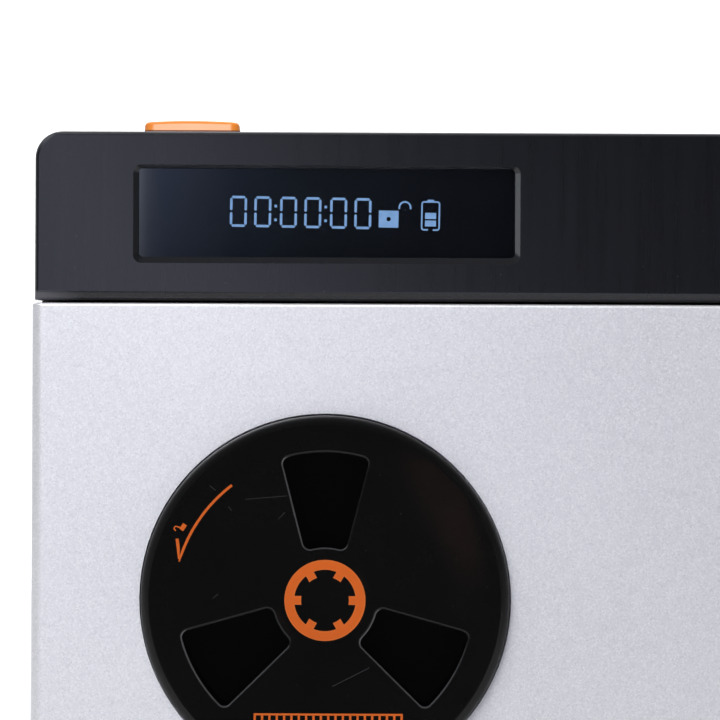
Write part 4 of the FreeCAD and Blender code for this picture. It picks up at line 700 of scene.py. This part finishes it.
def area_light(name, place, size, power, colour=(1, 1, 1), target=SUBJECT, roll=0, only=(), shun=()):
    """Soft box. It lights all nodes, or only those named in only, or all but those named in shun."""
    light = bpy.data.lights.new(name, "AREA")
    light.shape = "RECTANGLE"
    light.size, light.size_y = size
    light.energy = power
    light.color = colour
    lamp = bpy.data.objects.new(name, light)
    aim = (Vector(target) - Vector(place)).to_track_quat("-Z", "Y").to_matrix().to_4x4()
    lamp.matrix_world = Matrix.Translation(place) @ aim @ Matrix.Rotation(math.radians(roll), 4, "Z")
    lamp.visible_camera = False
    bpy.context.scene.collection.objects.link(lamp)
    if only or shun:
        receivers = bpy.data.collections.new(name + "_receivers")
        for node_name in only or shun:
            receivers.objects.link(nodes[node_name])
        if shun:
            for item in receivers.collection_objects:
                item.light_linking.link_state = "EXCLUDE"
        lamp.light_linking.receiver_collection = receivers


def around(azimuth, elevation, distance):
    """Place of a light, by its angles in degrees and its distance from SUBJECT. Azimuth is 0 in front and
    positive to the right."""
    a, e = math.radians(azimuth), math.radians(elevation)
    x, y, z = SUBJECT
    return (x + distance * math.sin(a) * math.cos(e), y - distance * math.cos(a) * math.cos(e),
            z + distance * math.sin(e))


IMAGE_WIDTH, FOCAL_LENGTH = 720, 3718.0   # in pixels
SENSOR_WIDTH = 36.0                       # in mm
CAMERA_PLACE = (-0.0410, -0.6235, 0.08808)
CAMERA_ROLL, CAMERA_PITCH, CAMERA_YAW = math.radians(0.24), math.radians(0.013), math.radians(0.089)


def camera():
    """Near straight-on view of the box's upper left, with a slight roll."""
    data = bpy.data.cameras.new("camera")
    data.sensor_width = SENSOR_WIDTH
    data.lens = FOCAL_LENGTH * SENSOR_WIDTH / IMAGE_WIDTH
    view = bpy.data.objects.new("camera", data)
    level = Matrix.Rotation(math.pi / 2 + CAMERA_PITCH, 4, "X")
    look = Matrix.Rotation(CAMERA_YAW, 4, "Z") @ level @ Matrix.Rotation(CAMERA_ROLL, 4, "Z")
    view.matrix_world = Matrix.Translation(CAMERA_PLACE) @ look
    bpy.context.scene.collection.objects.link(view)
    bpy.context.scene.camera = view


ROOM = ((0.0, 0.045), (0.067, 0.09), (0.25, 0.27), (0.5, 0.42), (0.95, 0.60))   # share front to back, grey


def studio():
    """Soft white room, dim where the camera stands and dimmer on the right than on the left."""
    world = bpy.data.worlds.new("soft_studio")
    world.use_nodes = True
    tree = world.node_tree
    direction = tree.nodes.new("ShaderNodeTexCoord")
    split = tree.nodes.new("ShaderNodeSeparateXYZ")
    shift = tree.nodes.new("ShaderNodeMapRange")
    ramp = tree.nodes.new("ShaderNodeValToRGB")
    shift.inputs["From Min"].default_value = -1.0
    tree.links.new(direction.outputs["Generated"], split.inputs[0])
    tree.links.new(split.outputs["Y"], shift.inputs["Value"])
    tree.links.new(shift.outputs[0], ramp.inputs[0])
    elements = ramp.color_ramp.elements
    while len(elements) < len(ROOM):
        elements.new(0.5)
    for element, (position, grey) in zip(elements, ROOM):
        element.position = position
        element.color = (grey * 0.98, grey, grey * 1.07, 1)
    tree.links.new(ramp.outputs[0], tree.nodes["Background"].inputs["Color"])
    dimmer = tree.nodes.new("ShaderNodeMapRange")
    for name, value in (("From Min", 0.0), ("From Max", 0.7), ("To Min", 1.0), ("To Max", 0.5)):
        dimmer.inputs[name].default_value = value
    tree.links.new(split.outputs["X"], dimmer.inputs["Value"])
    tree.links.new(dimmer.outputs[0], tree.nodes["Background"].inputs["Strength"])
    bpy.context.scene.world = world


stage()
studio()
area_light("key_high", around(-25, 42, 1.3), (0.8, 0.7), 11.5, (0.99, 0.99, 1.0),
           shun=("knob_disc", "head_bezel", "button_cap"))
area_light("door_front", around(-14, 22, 1.4), (0.5, 0.5), 5.7, (0.99, 0.99, 1.0), only=("door_shell",))
area_light("button_front", around(-3, 36, 1.2), (0.5, 0.4), 13, only=("button_cap",))
area_light("strip_left", around(-8.8, 7.4, 1.5), (0.2, 1.8), 2.0, (0.75, 0.78, 1.0), roll=34,
           shun=("knob_disc", "display_lens", "button_cap"))
area_light("side_left", around(-80, 3, 1.1), (0.14, 0.6), 0.75, (0.88, 0.94, 1.0), only=("head_bezel",))
# A small warm card close behind the camera. The knob's dish mirrors it in its right half.
area_light("warm_card", (-0.0372, -0.65, 0.022), (0.010, 0.018), 0.00016, (1.0, 0.52, 0.38),
           target=(-0.0372, 0, 0.022), only=("knob_disc",))
area_light("head_high", around(-25, 35, 1.3), (0.8, 0.3), 2.4, only=("head_bezel",))
area_light("fill_top", (0.0, 0.35, 1.5), (1.6, 0.8), 7, target=(0, 0, 0.06), shun=("knob_disc",))
area_light("back_wash", (0.0, 1.0, 1.6), (3.0, 1.0), 60, target=(0, 2.0, 0.6))
camera()
bpy.context.scene.view_settings.view_transform = "Standard"
